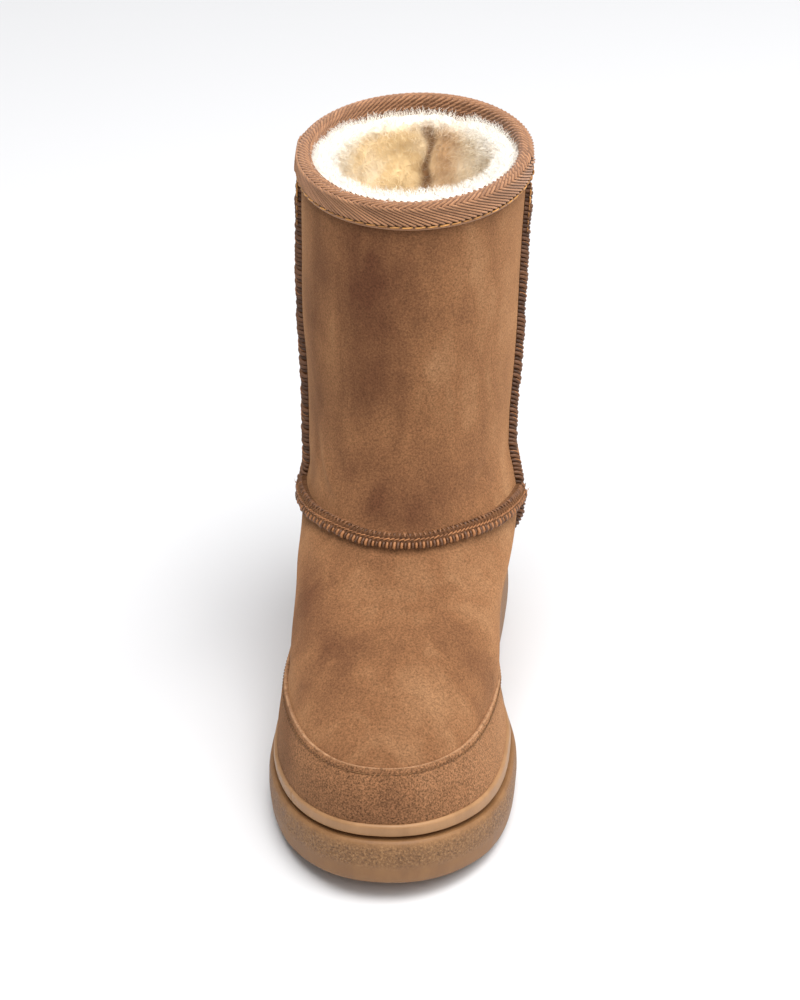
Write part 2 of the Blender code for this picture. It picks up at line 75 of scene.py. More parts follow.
# Half widths of the feather line as shares of the ball width,
# at shares of the foot's length from the toe
PLAN = (
    # along, lateral, medial
    (0.00, 0.440, 0.450),
    (0.12, 0.480, 0.478),
    (0.30, 0.522, 0.476),
    (0.45, 0.498, 0.394),
    (0.62, 0.430, 0.322),
    (0.80, 0.395, 0.338),
    (1.00, 0.375, 0.345),
)
PLAN_LATERAL, PLAN_MEDIAL = 1, 2

# Level sections of the upper. Level 0 is the feather line, 1 the ankle seam at
# the front, 2 the collar. Front and back reach run from the collar's ends (0)
# to the feather line's ends (1); foot is the share of the foot's plan in the
# width; lean is a share of the collar width towards the medial side.
SECTIONS = (
    # level, front, back, width, foot, toe round, heel round, lean
    (0.00, 1.000, 1.00, 0.985, 1.00, 0.275, 0.160, 0.000),
    (0.10, 1.004, 1.06, 0.979, 1.00, 0.270, 0.160, -0.004),
    (0.22, 0.990, 1.10, 0.951, 1.00, 0.280, 0.170, -0.009),
    (0.32, 0.957, 1.08, 0.934, 1.00, 0.300, 0.180, -0.008),
    (0.42, 0.894, 1.02, 0.940, 0.88, 0.335, 0.210, -0.004),
    (0.52, 0.797, 0.93, 0.966, 0.66, 0.380, 0.250, -0.007),
    (0.62, 0.676, 0.82, 0.988, 0.44, 0.430, 0.300, -0.007),
    (0.72, 0.536, 0.70, 1.016, 0.26, 0.470, 0.350, -0.006),
    (0.82, 0.377, 0.58, 1.012, 0.14, 0.500, 0.400, -0.012),
    (0.91, 0.291, 0.47, 0.978, 0.06, 0.500, 0.450, -0.016),
    (1.00, 0.212, 0.37, 0.942, 0.02, 0.500, 0.480, -0.018),
    (1.05, 0.159, 0.31, 0.926, 0.01, 0.500, 0.480, -0.027),
    (1.09, 0.132, 0.26, 0.919, 0.00, 0.500, 0.500, -0.033),
    (1.18, 0.089, 0.17, 0.922, 0.00, 0.500, 0.500, -0.033),
    (1.32, 0.051, 0.06, 0.940, 0.00, 0.500, 0.500, -0.030),
    (1.50, 0.037, 0.00, 0.962, 0.00, 0.500, 0.500, -0.031),
    (1.75, 0.020, 0.00, 0.972, 0.00, 0.500, 0.500, -0.023),
    (1.90, 0.008, 0.00, 0.980, 0.00, 0.500, 0.500, -0.014),
    (2.00, 0.000, 0.00, 0.984, 0.00, 0.500, 0.500, -0.009),
)
FRONT, BACK, WIDTH, FOOT, TOE_ROUND, HEEL_ROUND, LEAN = range(1, 8)

# Side wall of the outsole: reach beyond the feather line as a share of the
# flare, height as a share between the tread's edge (0) and the lip (1)
SOLE_WALL = (
    # reach, height
    (0.68, 1.00),
    (0.86, 0.955),
    (0.97, 0.80),
    (1.00, 0.58),
    (0.95, 0.33),
    (0.80, 0.10),
    (0.45, 0.00),
)

# Where the side seams run, as shares of the foot's length from the toe
SIDE_SEAM = (
    # level, along
    (0.00, 0.655),
    (0.40, 0.645),
    (0.85, 0.635),
    (1.15, 0.660),
    (1.50, 0.695),
    (2.00, 0.715),
)

# Height of the ankle seam at shares of the way from the front to a side seam
ANKLE_SEAM = (
    # way, level
    (0.00, 1.000),
    (0.30, 0.992),
    (0.65, 0.950),
    (1.00, 0.890),
)

# Top edges of the two overlays, by the way from the centre line to a side seam
GUARD_TOP = (
    # way, level
    (0.00, 0.355),
    (0.22, 0.357),
    (0.45, 0.375),
    (0.70, 0.410),
    (1.00, 0.440),
)
COUNTER_TOP = (
    # way, level
    (0.00, 0.760),
    (0.35, 0.730),
    (0.70, 0.560),
    (1.00, 0.400),
)


class Side(Enum):
    """A side of the right boot, as the sign of its ways round."""

    LATERAL = -1
    MEDIAL = 1


class Slot(Enum):
    """Material slots of the record."""

    SUEDE = "chestnut_suede"
    OVERLAY = "overlay_suede"
    EDGE = "whipped_edge"
    TAPE = "woven_tape"
    WOOL = "cream_wool"
    SOLE = "tan_rubber"
    RAND = "rand_rubber"


def column(table: Table, which: int, x: float | np.ndarray) -> np.ndarray:
    """One column of a table at x, through a curve that keeps the table's turns.

    Args:
        table: Rows that start with their place.
        which: Number of the column that is read.
        x: Places to read it at.

    Returns:
        The column's values at x.
    """
    xs = np.array([row[0] for row in table], float)
    ys = np.array([row[which] for row in table], float)
    x = np.clip(np.asarray(x, float), xs[0], xs[-1])
    slope = np.diff(ys) / np.diff(xs)
    tangent = np.zeros_like(ys)
    tangent[0] = slope[0]
    tangent[-1] = slope[-1]
    rising = slope[:-1] * slope[1:] > 0
    total = np.where(rising, slope[:-1] + slope[1:], 1.0)
    tangent[1:-1] = np.where(rising, 2 * slope[:-1] * slope[1:] / total, 0.0)
    i = np.clip(np.searchsorted(xs, x, side="right") - 1, 0, len(xs) - 2)
    span = xs[i + 1] - xs[i]
    u = (x - xs[i]) / span
    start = (1 + 2 * u) * (1 - u) ** 2 * ys[i] + u * (1 - u) ** 2 * span * tangent[i]
    end = u * u * (3 - 2 * u) * ys[i + 1] + u * u * (u - 1) * span * tangent[i + 1]
    return start + end


def ease(x: float | np.ndarray) -> np.ndarray:
    """Smooth step from 0 to 1."""
    x = np.clip(x, 0, 1)
    return x * x * (3 - 2 * x)


def unit(vectors: np.ndarray) -> np.ndarray:
    """Vectors at length 1."""
    return vectors / np.linalg.norm(vectors, axis=-1, keepdims=True)


class BootForm:
    """Outer surface of the upper, read at (level, way round).

    The way round runs 0 at the front, +1 at the back by the medial side and -1
    at the back by the lateral side, by length along each section.
    """

    SOLE_FLARE = 6.2 * MM
    HEEL_STACK = 31.0 * MM
    BALL_STACK = 25.5 * MM
    BALL_WIDTH = 103.0 * MM
    TOE_SPRING = 9.0 * MM
    TOE_SPRING_SHARE = 0.30
    ARCH_RISE = 3.0 * MM
    HEEL_BEVEL = 2.0 * MM
    INSTEP_HEIGHT = 118.0 * MM
    COLLAR_WIDTH = 104.0 * MM
    COLLAR_DEPTH = 124.5 * MM
    COLLAR_SETBACK = 17.0 * MM
    MIDLINE = 1.6 * MM
    WALL = 2.4 * MM
    GAP = 0.3 * MM

    def __init__(self, rows: int = 321, half: int = 200) -> None:
        """Samples the surface.

        Args:
            rows: Sampled levels.
            half: Steps from the front to the back on each side.
        """
        sole_low, sole_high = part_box("outsole")
        self.collar_height = float(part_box("upper")[1][2])
        half_sole = (sole_high[1] - sole_low[1]) / 2
        self.toe_y = -(half_sole - self.SOLE_FLARE)
        self.heel_y = half_sole - self.SOLE_FLARE
        self.length = self.heel_y - self.toe_y
        self.collar_back = self.heel_y - self.COLLAR_SETBACK
        self.collar_front = self.collar_back - self.COLLAR_DEPTH
        self.levels = np.linspace(0, 2, rows)
        self.ways = np.linspace(-1, 1, 2 * half + 1)
        grid = np.array([self._section(level, half) for level in self.levels])
        self.points = grid
        across = np.empty_like(grid)
        across[:, 1:-1] = grid[:, 2:] - grid[:, :-2]
        across[:, 0] = across[:, -1] = grid[:, 1] - grid[:, -2]
        self.normals = unit(np.cross(across, np.gradient(grid, axis=0)))
        flat = np.stack([across[0, :, 1], -across[0, :, 0], 0 * across[0, :, 0]], 1)
        self.flat = unit(flat)

    def along(self, y: np.ndarray) -> np.ndarray:
        """Share of the foot's length from the toe."""
        return (y - self.toe_y) / self.length

    def ground(self, y: np.ndarray) -> np.ndarray:
        """Height of the outsole's underside: toe spring, arch and heel bevel."""
        t = self.along(y)
        toe = self.TOE_SPRING * np.clip(1 - t / self.TOE_SPRING_SHARE, 0, 1.2) ** 2
        arch = self.ARCH_RISE * np.sin(math.pi * np.clip((t - 0.50) / 0.20, 0, 1)) ** 2
        heel = self.HEEL_BEVEL * np.clip((t - 0.93) / 0.07, 0, 1.3) ** 2
        return toe + arch + heel

    def seat(self, y: np.ndarray) -> np.ndarray:
        """Height of the feather line, where the upper meets the sole."""
        t = self.along(y)
        toe = self.TOE_SPRING * np.clip(1 - t / self.TOE_SPRING_SHARE, 0, 1.2) ** 2
        return self.BALL_STACK + (self.HEEL_STACK - self.BALL_STACK) * ease((t - 0.35) / 0.4) + toe

    def _section(self, level: float, half: int) -> np.ndarray:
        """Points of one section from the back, by the lateral side, to the back."""
        medial = self._half_section(level, Side.MEDIAL, half)
        lateral = self._half_section(level, Side.LATERAL, half)
        return np.concatenate([lateral[::-1], medial[1:]])

    def _half_section(self, level: float, side: Side, half: int) -> np.ndarray:
        """Front to back half of a section, evenly spaced.

        Args:
            level: Level of the section.
            side: The side it passes.
            half: Steps from front to back.

        Returns:
            Points, half + 1 of them.
        """
        s = (1 - np.cos(np.linspace(0, math.pi, 600))) / 2
        front_share = column(SECTIONS, FRONT, level)
        back_share = column(SECTIONS, BACK, level)
        front = self.collar_front + (self.toe_y - self.collar_front) * front_share
        back = self.collar_back + (self.heel_y - self.collar_back) * back_share
        y = front + (back - front) * s
        foot = column(SECTIONS, FOOT, level)
        which = PLAN_MEDIAL if side is Side.MEDIAL else PLAN_LATERAL
        plan = column(PLAN, which, self.along(y)) * self.BALL_WIDTH
        width = foot * plan + (1 - foot) * self.COLLAR_WIDTH / 2
        width = width * column(SECTIONS, WIDTH, level)
        toe = np.clip(1 - s / column(SECTIONS, TOE_ROUND, level), 0, 1)
        heel = np.clip(1 - (1 - s) / column(SECTIONS, HEEL_ROUND, level), 0, 1)
        toe_power = 2.0 + 0.25 * foot
        heel_power = 2.0 + 0.15 * foot
        width = width * (1 - toe ** toe_power) ** (1 / toe_power)
        width = width * (1 - heel ** heel_power) ** (1 / heel_power)
        lean = self.COLLAR_WIDTH * column(SECTIONS, LEAN, level)
        x = self.MIDLINE + side.value * width + lean
        height = self.HEEL_STACK + (self.INSTEP_HEIGHT - self.HEEL_STACK) * min(level, 1)
        height += (self.collar_height - self.INSTEP_HEIGHT) * max(level - 1, 0)
        z = height + (self.seat(y) - self.HEEL_STACK) * max(1 - level, 0) ** 1.3
        curve = np.stack([x, y, z], 1)
        steps = np.linalg.norm(np.diff(curve, axis=0), axis=1)
        run = np.concatenate([[0], np.cumsum(steps)])
        even = np.linspace(0, run[-1], half + 1)
        return np.stack([np.interp(even, run, curve[:, k]) for k in range(3)], 1)

    def read(self, grid: np.ndarray, level: np.ndarray, way: np.ndarray) -> np.ndarray:
        """Value of a sampled grid between its samples."""
        level, way = np.broadcast_arrays(np.asarray(level, float), np.asarray(way, float))
        row = np.clip(level / 2 * (len(self.levels) - 1), 0, len(self.levels) - 1)
        col = np.mod(way + 1, 2) / 2 * (len(self.ways) - 1)
        i = np.minimum(row.astype(int), len(self.levels) - 2)
        j = np.minimum(col.astype(int), len(self.ways) - 2)
        u = (row - i)[..., None]
        v = (col - j)[..., None]
        low = grid[i, j] * (1 - v) + grid[i, j + 1] * v
        high = grid[i + 1, j] * (1 - v) + grid[i + 1, j + 1] * v
        return low * (1 - u) + high * u

    def normal(self, level: np.ndarray, way: np.ndarray) -> np.ndarray:
        """Outward direction of the surface."""
        return unit(self.read(self.normals, level, way))

    def at(self, level: np.ndarray, way: np.ndarray, out: np.ndarray | float = 0.0) -> np.ndarray:
        """Point on the surface, moved outward."""
        out = np.asarray(out, float)
        return self.read(self.points, level, way) + self.normal(level, way) * out[..., None]

    def feather(self, way: np.ndarray, out: np.ndarray | float) -> np.ndarray:
        """Point of the feather line, moved outward on the level."""
        col = np.mod(np.asarray(way, float) + 1, 2) / 2 * (len(self.ways) - 1)
        j = np.minimum(col.astype(int), len(self.ways) - 2)
        v = (col - j)[..., None]
        flat = unit(self.flat[j] * (1 - v) + self.flat[j + 1] * v)
        return self.read(self.points, 0.0, way) + flat * np.asarray(out, float)[..., None]

    def seam_way(self, level: float, side: Side) -> float:
        """Way round of a side seam at a level."""
        half = len(self.ways) // 2
        row = self.read(self.points, level, self.ways)
        y = row[half:, 1] if side is Side.MEDIAL else row[half::-1, 1]
        share = float(column(SIDE_SEAM, 1, level))
        place = np.interp(self.toe_y + share * self.length, y, np.linspace(0, 1, half + 1))
        return side.value * float(place)

    def collar_level(self, drop: np.ndarray | float) -> np.ndarray:
        """Level that lies a drop below the collar."""
        return 2 - np.asarray(drop, float) / (self.collar_height - self.INSTEP_HEIGHT)

    def foot_level(self, rise: float) -> float:
        """Level that lies a rise above the feather line."""
        return rise / (self.INSTEP_HEIGHT - self.HEEL_STACK)


def ways_round(count: int) -> np.ndarray:
    """Even ways round, from the back by the lateral side, without a repeat."""
    return np.linspace(-1, 1, count, endpoint=False)


def loft(rows: int, columns: int, closed_rows: bool, closed_columns: bool) -> np.ndarray:
    """Quads that join rows of equal length.

    Args:
        rows: Number of rows.
        columns: Points in each row.
        closed_rows: Whether the last row joins the first.
        closed_columns: Whether each row closes on itself.

    Returns:
        Indices of the quads' corners.
    """
    r = np.arange(rows if closed_rows else rows - 1)[:, None]
    c = np.arange(columns if closed_columns else columns - 1)[None]
    below = r * columns
    above = ((r + 1) % rows) * columns
    d = (c + 1) % columns
    corners = [below + c, below + d, above + d, above + c]
    return np.stack(np.broadcast_arrays(*corners), -1).reshape(-1, 4)


def tube_faces(count: int, around: int) -> list[list[int]]:
    """Quads of a tube of equal sections, and a face at each of its ends."""
    faces = loft(count, around, False, True).tolist()
    faces.append(list(range(around))[::-1])
    faces.append([(count - 1) * around + i for i in range(around)])
    return faces


def bowl_faces(rows: int, columns: int) -> list[list[int]]:
    """Quads of stacked rings, the first and the last closed from side to side."""
    faces = loft(rows, columns, False, True).tolist()
    half = columns // 2
    for first, up in ((0, False), ((rows - 1) * columns, True)):
        lateral = [first + half - i for i in range(half + 1)]
        medial = [first + (half + i) % columns for i in range(half + 1)]
        for i in range(half):
            rung = [lateral[i], medial[i], medial[i + 1], lateral[i + 1]]
            rung = [v for n, v in enumerate(rung) if v not in rung[:n]]
            faces.append(rung if up else rung[::-1])
    return faces


def linked(name: str, data: ID) -> Object:
    """A new object that shows some data, linked to the scene."""
    thing = bpy.data.objects.new(name, data)
    bpy.context.scene.collection.objects.link(thing)
    return thing


def hold(mesh: Mesh, name: str, numbers: np.ndarray) -> None:
    """Stores one number for each vertex of a mesh as an attribute."""
    made = mesh.attributes.new(name, "FLOAT", "POINT")
    made.data.foreach_set("value", np.ravel(numbers).astype(np.float32))


def piece(name: str, vertices: np.ndarray, faces: Sequence[Sequence[int]],
          values: dict[str, np.ndarray] | None = None) -> Object:
    """A closed piece with smooth faces that look outward.

    Args:
        name: Name of the object.
        vertices: Corner places.
        faces: Corner indices of each face.
        values: Point attributes, one number for each vertex.

    Returns:
        The object, linked to the scene.
    """
    mesh = bpy.data.meshes.new(name)
    mesh.from_pydata(np.asarray(vertices, float).reshape(-1, 3).tolist(), [],
                     [tuple(int(i) for i in f) for f in faces])
    body = bmesh.new()
    body.from_mesh(mesh)
    bmesh.ops.recalc_face_normals(body, faces=body.faces)
    body.to_mesh(mesh)
    body.free()
    mesh.shade_smooth()
    for key, numbers in (values or {}).items():
        hold(mesh, key, numbers)
    return linked(name, mesh)


def finish_piece(thing: Object, made: Material, slot: Slot, *nodes: str) -> Object:
    """Dresses a piece, sets it on the boot and lets it stand for CAD nodes."""
    thing.data.materials.clear()
    thing.data.materials.append(made)
    if nodes:
        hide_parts(*nodes)
    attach(thing, "root")
    LOG.info("%s: %d faces", thing.name, len(thing.data.polygons))
    return thing


def srgb(code: str) -> tuple[float, float, float, float]:
    """Linear colour of an sRGB hex code."""
    parts = [int(code[i:i + 2], 16) / 255 for i in (1, 3, 5)]
    linear = [c / 12.92 if c <= 0.04045 else ((c + 0.055) / 1.055) ** 2.4 for c in parts]
    return (*linear, 1.0)


def add_node(tree: NodeTree, kind: str, inputs: dict | None = None, **settings: object) -> Node:
    """Adds a node to a tree.

    Args:
        tree: The node tree.
        kind: Type name of the node.
        inputs: What its inputs are fed.
        settings: Properties of the node.

    Returns:
        The node.
    """
    made = tree.nodes.new(kind)
    for name, value in settings.items():
        setattr(made, name, value)
    feed(tree, made, inputs or {})
    return made


def feed(tree: NodeTree, node: Node, inputs: dict) -> None:
    """Sets or links a node's inputs, by name or number.

    Args:
        tree: The node tree.
        node: The node that is fed.
        inputs: For each input a value, a socket, or a node for its first used output.
    """
    for socket, value in inputs.items():
        if isinstance(value, Node):
            value = next(given for given in value.outputs if given.enabled)
        if isinstance(value, NodeSocket):
            tree.links.new(value, node.inputs[socket])
        else:
            node.inputs[socket].default_value = value


def new_material(name: str) -> tuple[Material, NodeTree, Node, NodeSocket]:
    """A material with its tree, its Principled BSDF and the object's coordinates."""
    made = bpy.data.materials.new(name)
    made.use_nodes = True
    tree = made.node_tree
    place = add_node(tree, "ShaderNodeTexCoord").outputs["Object"]
    return made, tree, tree.nodes["Principled BSDF"], place


@dataclass(frozen=True)
class Suede:
    """Twin-face sheepskin, buffed on the flesh side to a short nap.

    The nap gives a matt, slightly glowing surface whose shade shifts in soft,
    mostly upright patches where hands brushed it, over a fine pale grain. A
    shade attribute adds painted shade to the colour as well.
    """

    name: str
    pale: str = "#AF855F"
    body: str = "#8E6342"
    deep: str = "#623D29"
    # Pale colour of a cut edge; on the overlays it also paints a highlight along the raised edge
    cut: str = "#C09672"
    patch: float = 42 * MM
    brush: float = 13 * MM
    # The nap's fibres are about 0.3 mm; drawn at 0.9 mm, the finest that shows
    grain: float = 0.9 * MM
    grain_depth: float = 0.30 * MM
    contrast: float = 0.40
    uneven: float = 0.80

    def make(self) -> Material:
        """The material."""
        made, tree, shader, place = new_material(self.name)
        upright = add_node(tree, "ShaderNodeMapping", {"Vector": place, "Scale": (1, 1, 0.38)})
        patches = add_node(tree, "ShaderNodeTexNoise", {
            "Vector": place, "Scale": 1 / self.patch, "Detail": 3.0, "Roughness": 0.55})
        brushed = add_node(tree, "ShaderNodeTexNoise", {
            "Vector": upright, "Scale": 1 / self.brush, "Detail": 3.0, "Roughness": 0.5,
            "Distortion": 0.6})
        nap = add_node(tree, "ShaderNodeTexNoise", {
            "Vector": place, "Scale": 1 / self.grain, "Detail": 4.0, "Roughness": 0.75})
        # The shade attribute carries painted shade besides nap tone: darker patches on the side
        # away from the key light, dark dips at the stitches and dark pinches on the seams.
        shade = add_node(tree, "ShaderNodeAttribute", attribute_name="shade")
        cut_edge = add_node(tree, "ShaderNodeAttribute", attribute_name="cut")
        wide = add_node(tree, "ShaderNodeMath", {
            0: patches, 1: 1.1 * self.uneven, 2: 0.5 - 0.55 * self.uneven},
            operation="MULTIPLY_ADD")
        level = add_node(tree, "ShaderNodeMath", {
            0: brushed, 1: 0.75 * self.uneven, 2: -0.375 * self.uneven}, operation="MULTIPLY_ADD")
        total = add_node(tree, "ShaderNodeMath", {0: wide, 1: level}, operation="ADD")
        painted = add_node(tree, "ShaderNodeMath", {
            0: total, 1: shade.outputs["Fac"]}, operation="ADD")
        low = add_node(tree, "ShaderNodeMapRange", {
            "Value": painted, "From Min": 0.0, "From Max": 0.5})
        high = add_node(tree, "ShaderNodeMapRange", {
            "Value": painted, "From Min": 0.5, "From Max": 1.05})
        dark = add_node(tree, "ShaderNodeMix", {
            "Factor": low, 6: srgb(self.deep), 7: srgb(self.body)}, data_type="RGBA")
        light = add_node(tree, "ShaderNodeMix", {
            "Factor": high, 6: dark, 7: srgb(self.pale)}, data_type="RGBA")
        fleck = add_node(tree, "ShaderNodeMapRange", {
            "Value": nap, "From Min": 0.34, "From Max": 0.66, "To Min": 1 - self.contrast,
            "To Max": 1 + self.contrast})
        grained = add_node(tree, "ShaderNodeVectorMath", {
            0: light, "Scale": fleck}, operation="SCALE")
        edged = add_node(tree, "ShaderNodeMix", {
            "Factor": cut_edge.outputs["Fac"], 6: grained, 7: srgb(self.cut)}, data_type="RGBA")
        bump = add_node(tree, "ShaderNodeBump", {
            "Height": nap, "Strength": 0.9, "Distance": self.grain_depth})
        feed(tree, shader, {
            "Base Color": edged, "Normal": bump, "Roughness": 0.95, "Diffuse Roughness": 1.0,
            "Specular IOR Level": 0.15, "Sheen Weight": 0.35, "Sheen Roughness": 0.45,
            "Sheen Tint": srgb("#D9A878")})
        return made


@dataclass(frozen=True)
class Thread:
    """Waxed, braided sewing thread; its wax gives small warm glints, partly painted into its
    colour.
    """

    name: str
    dark: str = "#4A2F1D"
    light: str = "#A26C42"
    ply: float = 0.6 * MM
    roughness: float = 0.5

    def make(self) -> Material:
        """The material."""
        made, tree, shader, place = new_material(self.name)
        tone = add_node(tree, "ShaderNodeAttribute", attribute_name="tone")
        twist = add_node(tree, "ShaderNodeTexNoise", {
            "Vector": place, "Scale": 1 / self.ply, "Detail": 2.0})
        # The lighter colour, mixed in by the twist and by each stitch's tone, is partly the
        # thread's own uneven colour and partly painted glints.
        mixed = add_node(tree, "ShaderNodeMath", {
            0: twist, 1: 0.5, 2: tone.outputs["Fac"]}, operation="MULTIPLY_ADD")
        ranged = add_node(tree, "ShaderNodeMapRange", {
            "Value": mixed, "From Min": 0.2, "From Max": 1.25})
        colour = add_node(tree, "ShaderNodeMix", {
            "Factor": ranged, 6: srgb(self.dark), 7: srgb(self.light)}, data_type="RGBA")
        bump = add_node(tree, "ShaderNodeBump", {
            "Height": twist, "Strength": 0.8, "Distance": 0.08 * MM})
        feed(tree, shader, {
            "Base Color": colour, "Normal": bump, "Roughness": self.roughness,
            "Specular IOR Level": 0.4})
        return made


@dataclass(frozen=True)
class Tape:
    """Woven cotton herringbone tape, dyed a redder brown than the suede."""

    name: str
    dark: str = "#5C3C2B"
    light: str = "#C8946C"
    yarn: float = 0.35 * MM

    def make(self) -> Material:
        """The material."""
        made, tree, shader, place = new_material(self.name)
        tone = add_node(tree, "ShaderNodeAttribute", attribute_name="tone")
        fibre = add_node(tree, "ShaderNodeTexNoise", {
            "Vector": place, "Scale": 1 / self.yarn, "Detail": 2.0})
        mixed = add_node(tree, "ShaderNodeMath", {
            0: tone.outputs["Fac"], 1: 0.55, 2: fibre}, operation="MULTIPLY_ADD")
        ranged = add_node(tree, "ShaderNodeMapRange", {
            "Value": mixed, "From Min": 0.35, "From Max": 1.2})
        colour = add_node(tree, "ShaderNodeMix", {
            "Factor": ranged, 6: srgb(self.dark), 7: srgb(self.light)}, data_type="RGBA")
        bump = add_node(tree, "ShaderNodeBump", {
            "Height": fibre, "Strength": 0.6, "Distance": 0.06 * MM})
        feed(tree, shader, {
            "Base Color": colour, "Normal": bump, "Roughness": 0.85, "Diffuse Roughness": 0.8,
            "Specular IOR Level": 0.2, "Sheen Weight": 0.2})
        return made


@dataclass(frozen=True)
class Wool:
    """Shorn sheep's wool, undyed cream with golden and taupe locks.

    The fibres scatter light among themselves, so the pile looks soft, bright
    and without a highlight; where the locks part, shade is painted into the colour.
    """

    name: str
    cream: str = "#FFFAF1"
    gold: str = "#FFE6B6"
    taupe: str = "#E0BA8F"
    # Brown that the parting is darkened to, a painted shade
    root: str = "#8E6440"
    lock: float = 6 * MM
    fibre: float = 0.7 * MM

    def make(self) -> Material:
        """The material."""
        made, tree, shader, place = new_material(self.name)
        gold = add_node(tree, "ShaderNodeAttribute", attribute_name="gold")
        taupe = add_node(tree, "ShaderNodeAttribute", attribute_name="taupe")
        parting = add_node(tree, "ShaderNodeAttribute", attribute_name="parting")
        locks = add_node(tree, "ShaderNodeTexNoise", {
            "Vector": place, "Scale": 1 / self.lock, "Detail": 3.0, "Roughness": 0.6})
        fibres = add_node(tree, "ShaderNodeTexNoise", {
            "Vector": place, "Scale": 1 / self.fibre, "Detail": 2.0})
        uneven = add_node(tree, "ShaderNodeMath", {
            0: locks, 1: 0.8, 2: 0.6}, operation="MULTIPLY_ADD")
        warm = add_node(tree, "ShaderNodeMath", {
            0: gold.outputs["Fac"], 1: uneven}, operation="MULTIPLY", use_clamp=True)
        grey = add_node(tree, "ShaderNodeMath", {
            0: taupe.outputs["Fac"], 1: uneven}, operation="MULTIPLY", use_clamp=True)
        golden = add_node(tree, "ShaderNodeMix", {
            "Factor": warm, 6: srgb(self.cream), 7: srgb(self.gold)}, data_type="RGBA")
        final = add_node(tree, "ShaderNodeMix", {
            "Factor": grey, 6: golden, 7: srgb(self.taupe)}, data_type="RGBA")
        # Painted shade: darker in the parting
        parted = add_node(tree, "ShaderNodeMath", {
            0: parting.outputs["Fac"], 1: uneven}, operation="MULTIPLY", use_clamp=True)
        parting_shaded = add_node(tree, "ShaderNodeMix", {
            "Factor": parted, 6: final, 7: srgb(self.root)}, data_type="RGBA")
        height = add_node(tree, "ShaderNodeMath", {
            0: fibres, 1: 0.5, 2: locks}, operation="MULTIPLY_ADD")
        bump = add_node(tree, "ShaderNodeBump", {
            "Height": height, "Strength": 0.7, "Distance": 0.5 * MM})
        feed(tree, shader, {
            "Base Color": parting_shaded, "Normal": bump, "Roughness": 1.0, "Diffuse Roughness": 0.3,
            "Specular IOR Level": 0.05, "Sheen Weight": 0.6, "Sheen Roughness": 0.5})
        return made


@dataclass(frozen=True)
class Rubber:
    """Moulded rubber in tan.

    The moulds leave a satin skin with faint scuffs; where the attribute crumb
    is set, the skin is stippled like fine crumbs, with painted shade in the pits
    and painted highlights on the raised tops.
    """

    name: str
    body: str = "#7F5935"
    scuffed: str = "#936B44"
    crumb_pit_shade: str = "#543519"
    crumb_top_highlight: str = "#B08558"
    roughness: float = 0.55
    scuff: float = 9 * MM
    crumb: float = 1.15 * MM

    def make(self) -> Material:
        """The material."""
        made, tree, shader, place = new_material(self.name)
        upright = add_node(tree, "ShaderNodeMapping", {"Vector": place, "Scale": (1, 1, 0.35)})
        crumb = add_node(tree, "ShaderNodeAttribute", attribute_name="crumb")
        scuffs = add_node(tree, "ShaderNodeTexNoise", {
            "Vector": upright, "Scale": 1 / self.scuff, "Detail": 4.0, "Roughness": 0.65})
        skin = add_node(tree, "ShaderNodeTexNoise", {
            "Vector": place, "Scale": 1 / (0.5 * MM), "Detail": 1.0})
        stipple = add_node(tree, "ShaderNodeTexNoise", {
            "Vector": place, "Scale": 1 / self.crumb, "Detail": 3.0, "Roughness": 0.7})
        worn = add_node(tree, "ShaderNodeMapRange", {
            "Value": scuffs, "From Min": 0.35, "From Max": 0.75})
        colour = add_node(tree, "ShaderNodeMix", {
            "Factor": worn, 6: srgb(self.body), 7: srgb(self.scuffed)}, data_type="RGBA")
        # Painted shade: the stipple's pits are darkened towards the pit colour.
        pitted = add_node(tree, "ShaderNodeMapRange", {
            "Value": stipple, "From Min": 0.45, "From Max": 0.35, "To Max": 0.8})
        shadowed = add_node(tree, "ShaderNodeMath", {
            0: pitted, 1: crumb.outputs["Fac"]}, operation="MULTIPLY", use_clamp=True)
        crumbed = add_node(tree, "ShaderNodeMix", {
            "Factor": shadowed, 6: colour, 7: srgb(self.crumb_pit_shade)}, data_type="RGBA")
        # Painted highlight: the stipple's raised tops are lightened.
        raised = add_node(tree, "ShaderNodeMapRange", {
            "Value": stipple, "From Min": 0.51, "From Max": 0.64, "To Max": 0.8})
        lit = add_node(tree, "ShaderNodeMath", {
            0: raised, 1: crumb.outputs["Fac"]}, operation="MULTIPLY", use_clamp=True)
        topped = add_node(tree, "ShaderNodeMix", {
            "Factor": lit, 6: crumbed, 7: srgb(self.crumb_top_highlight)}, data_type="RGBA")
        rough_relief = add_node(tree, "ShaderNodeMath", {
            0: stipple, 1: crumb.outputs["Fac"]}, operation="MULTIPLY")
        relief = add_node(tree, "ShaderNodeMath", {
            0: skin, 1: 0.05, 2: rough_relief}, operation="MULTIPLY_ADD")
        bump = add_node(tree, "ShaderNodeBump", {
            "Height": relief, "Strength": 1.0, "Distance": 1.3 * MM})
        gloss = add_node(tree, "ShaderNodeMapRange", {
            "Value": scuffs, "From Min": 0.3, "From Max": 0.7, "To Min": self.roughness - 0.06,
            "To Max": self.roughness + 0.12})
        feed(tree, shader, {
            "Base Color": topped, "Normal": bump, "Roughness": gloss, "IOR": 1.5,
            "Specular IOR Level": 0.4})
        return made


@dataclass(frozen=True)
class Sweep:
    """Matt white studio paper."""

    name: str = "studio_paper"
    colour: str = "#E0E0E1"

    def make(self) -> Material:
        """The material."""
        made, tree, shader, place = new_material(self.name)
        tooth = add_node(tree, "ShaderNodeTexNoise", {"Vector": place, "Scale": 900.0})
        bump = add_node(tree, "ShaderNodeBump", {
            "Height": tooth, "Strength": 0.1, "Distance": 0.05 * MM})
        feed(tree, shader, {"Base Color": srgb(self.colour), "Normal": bump, "Roughness": 0.9})
        return made


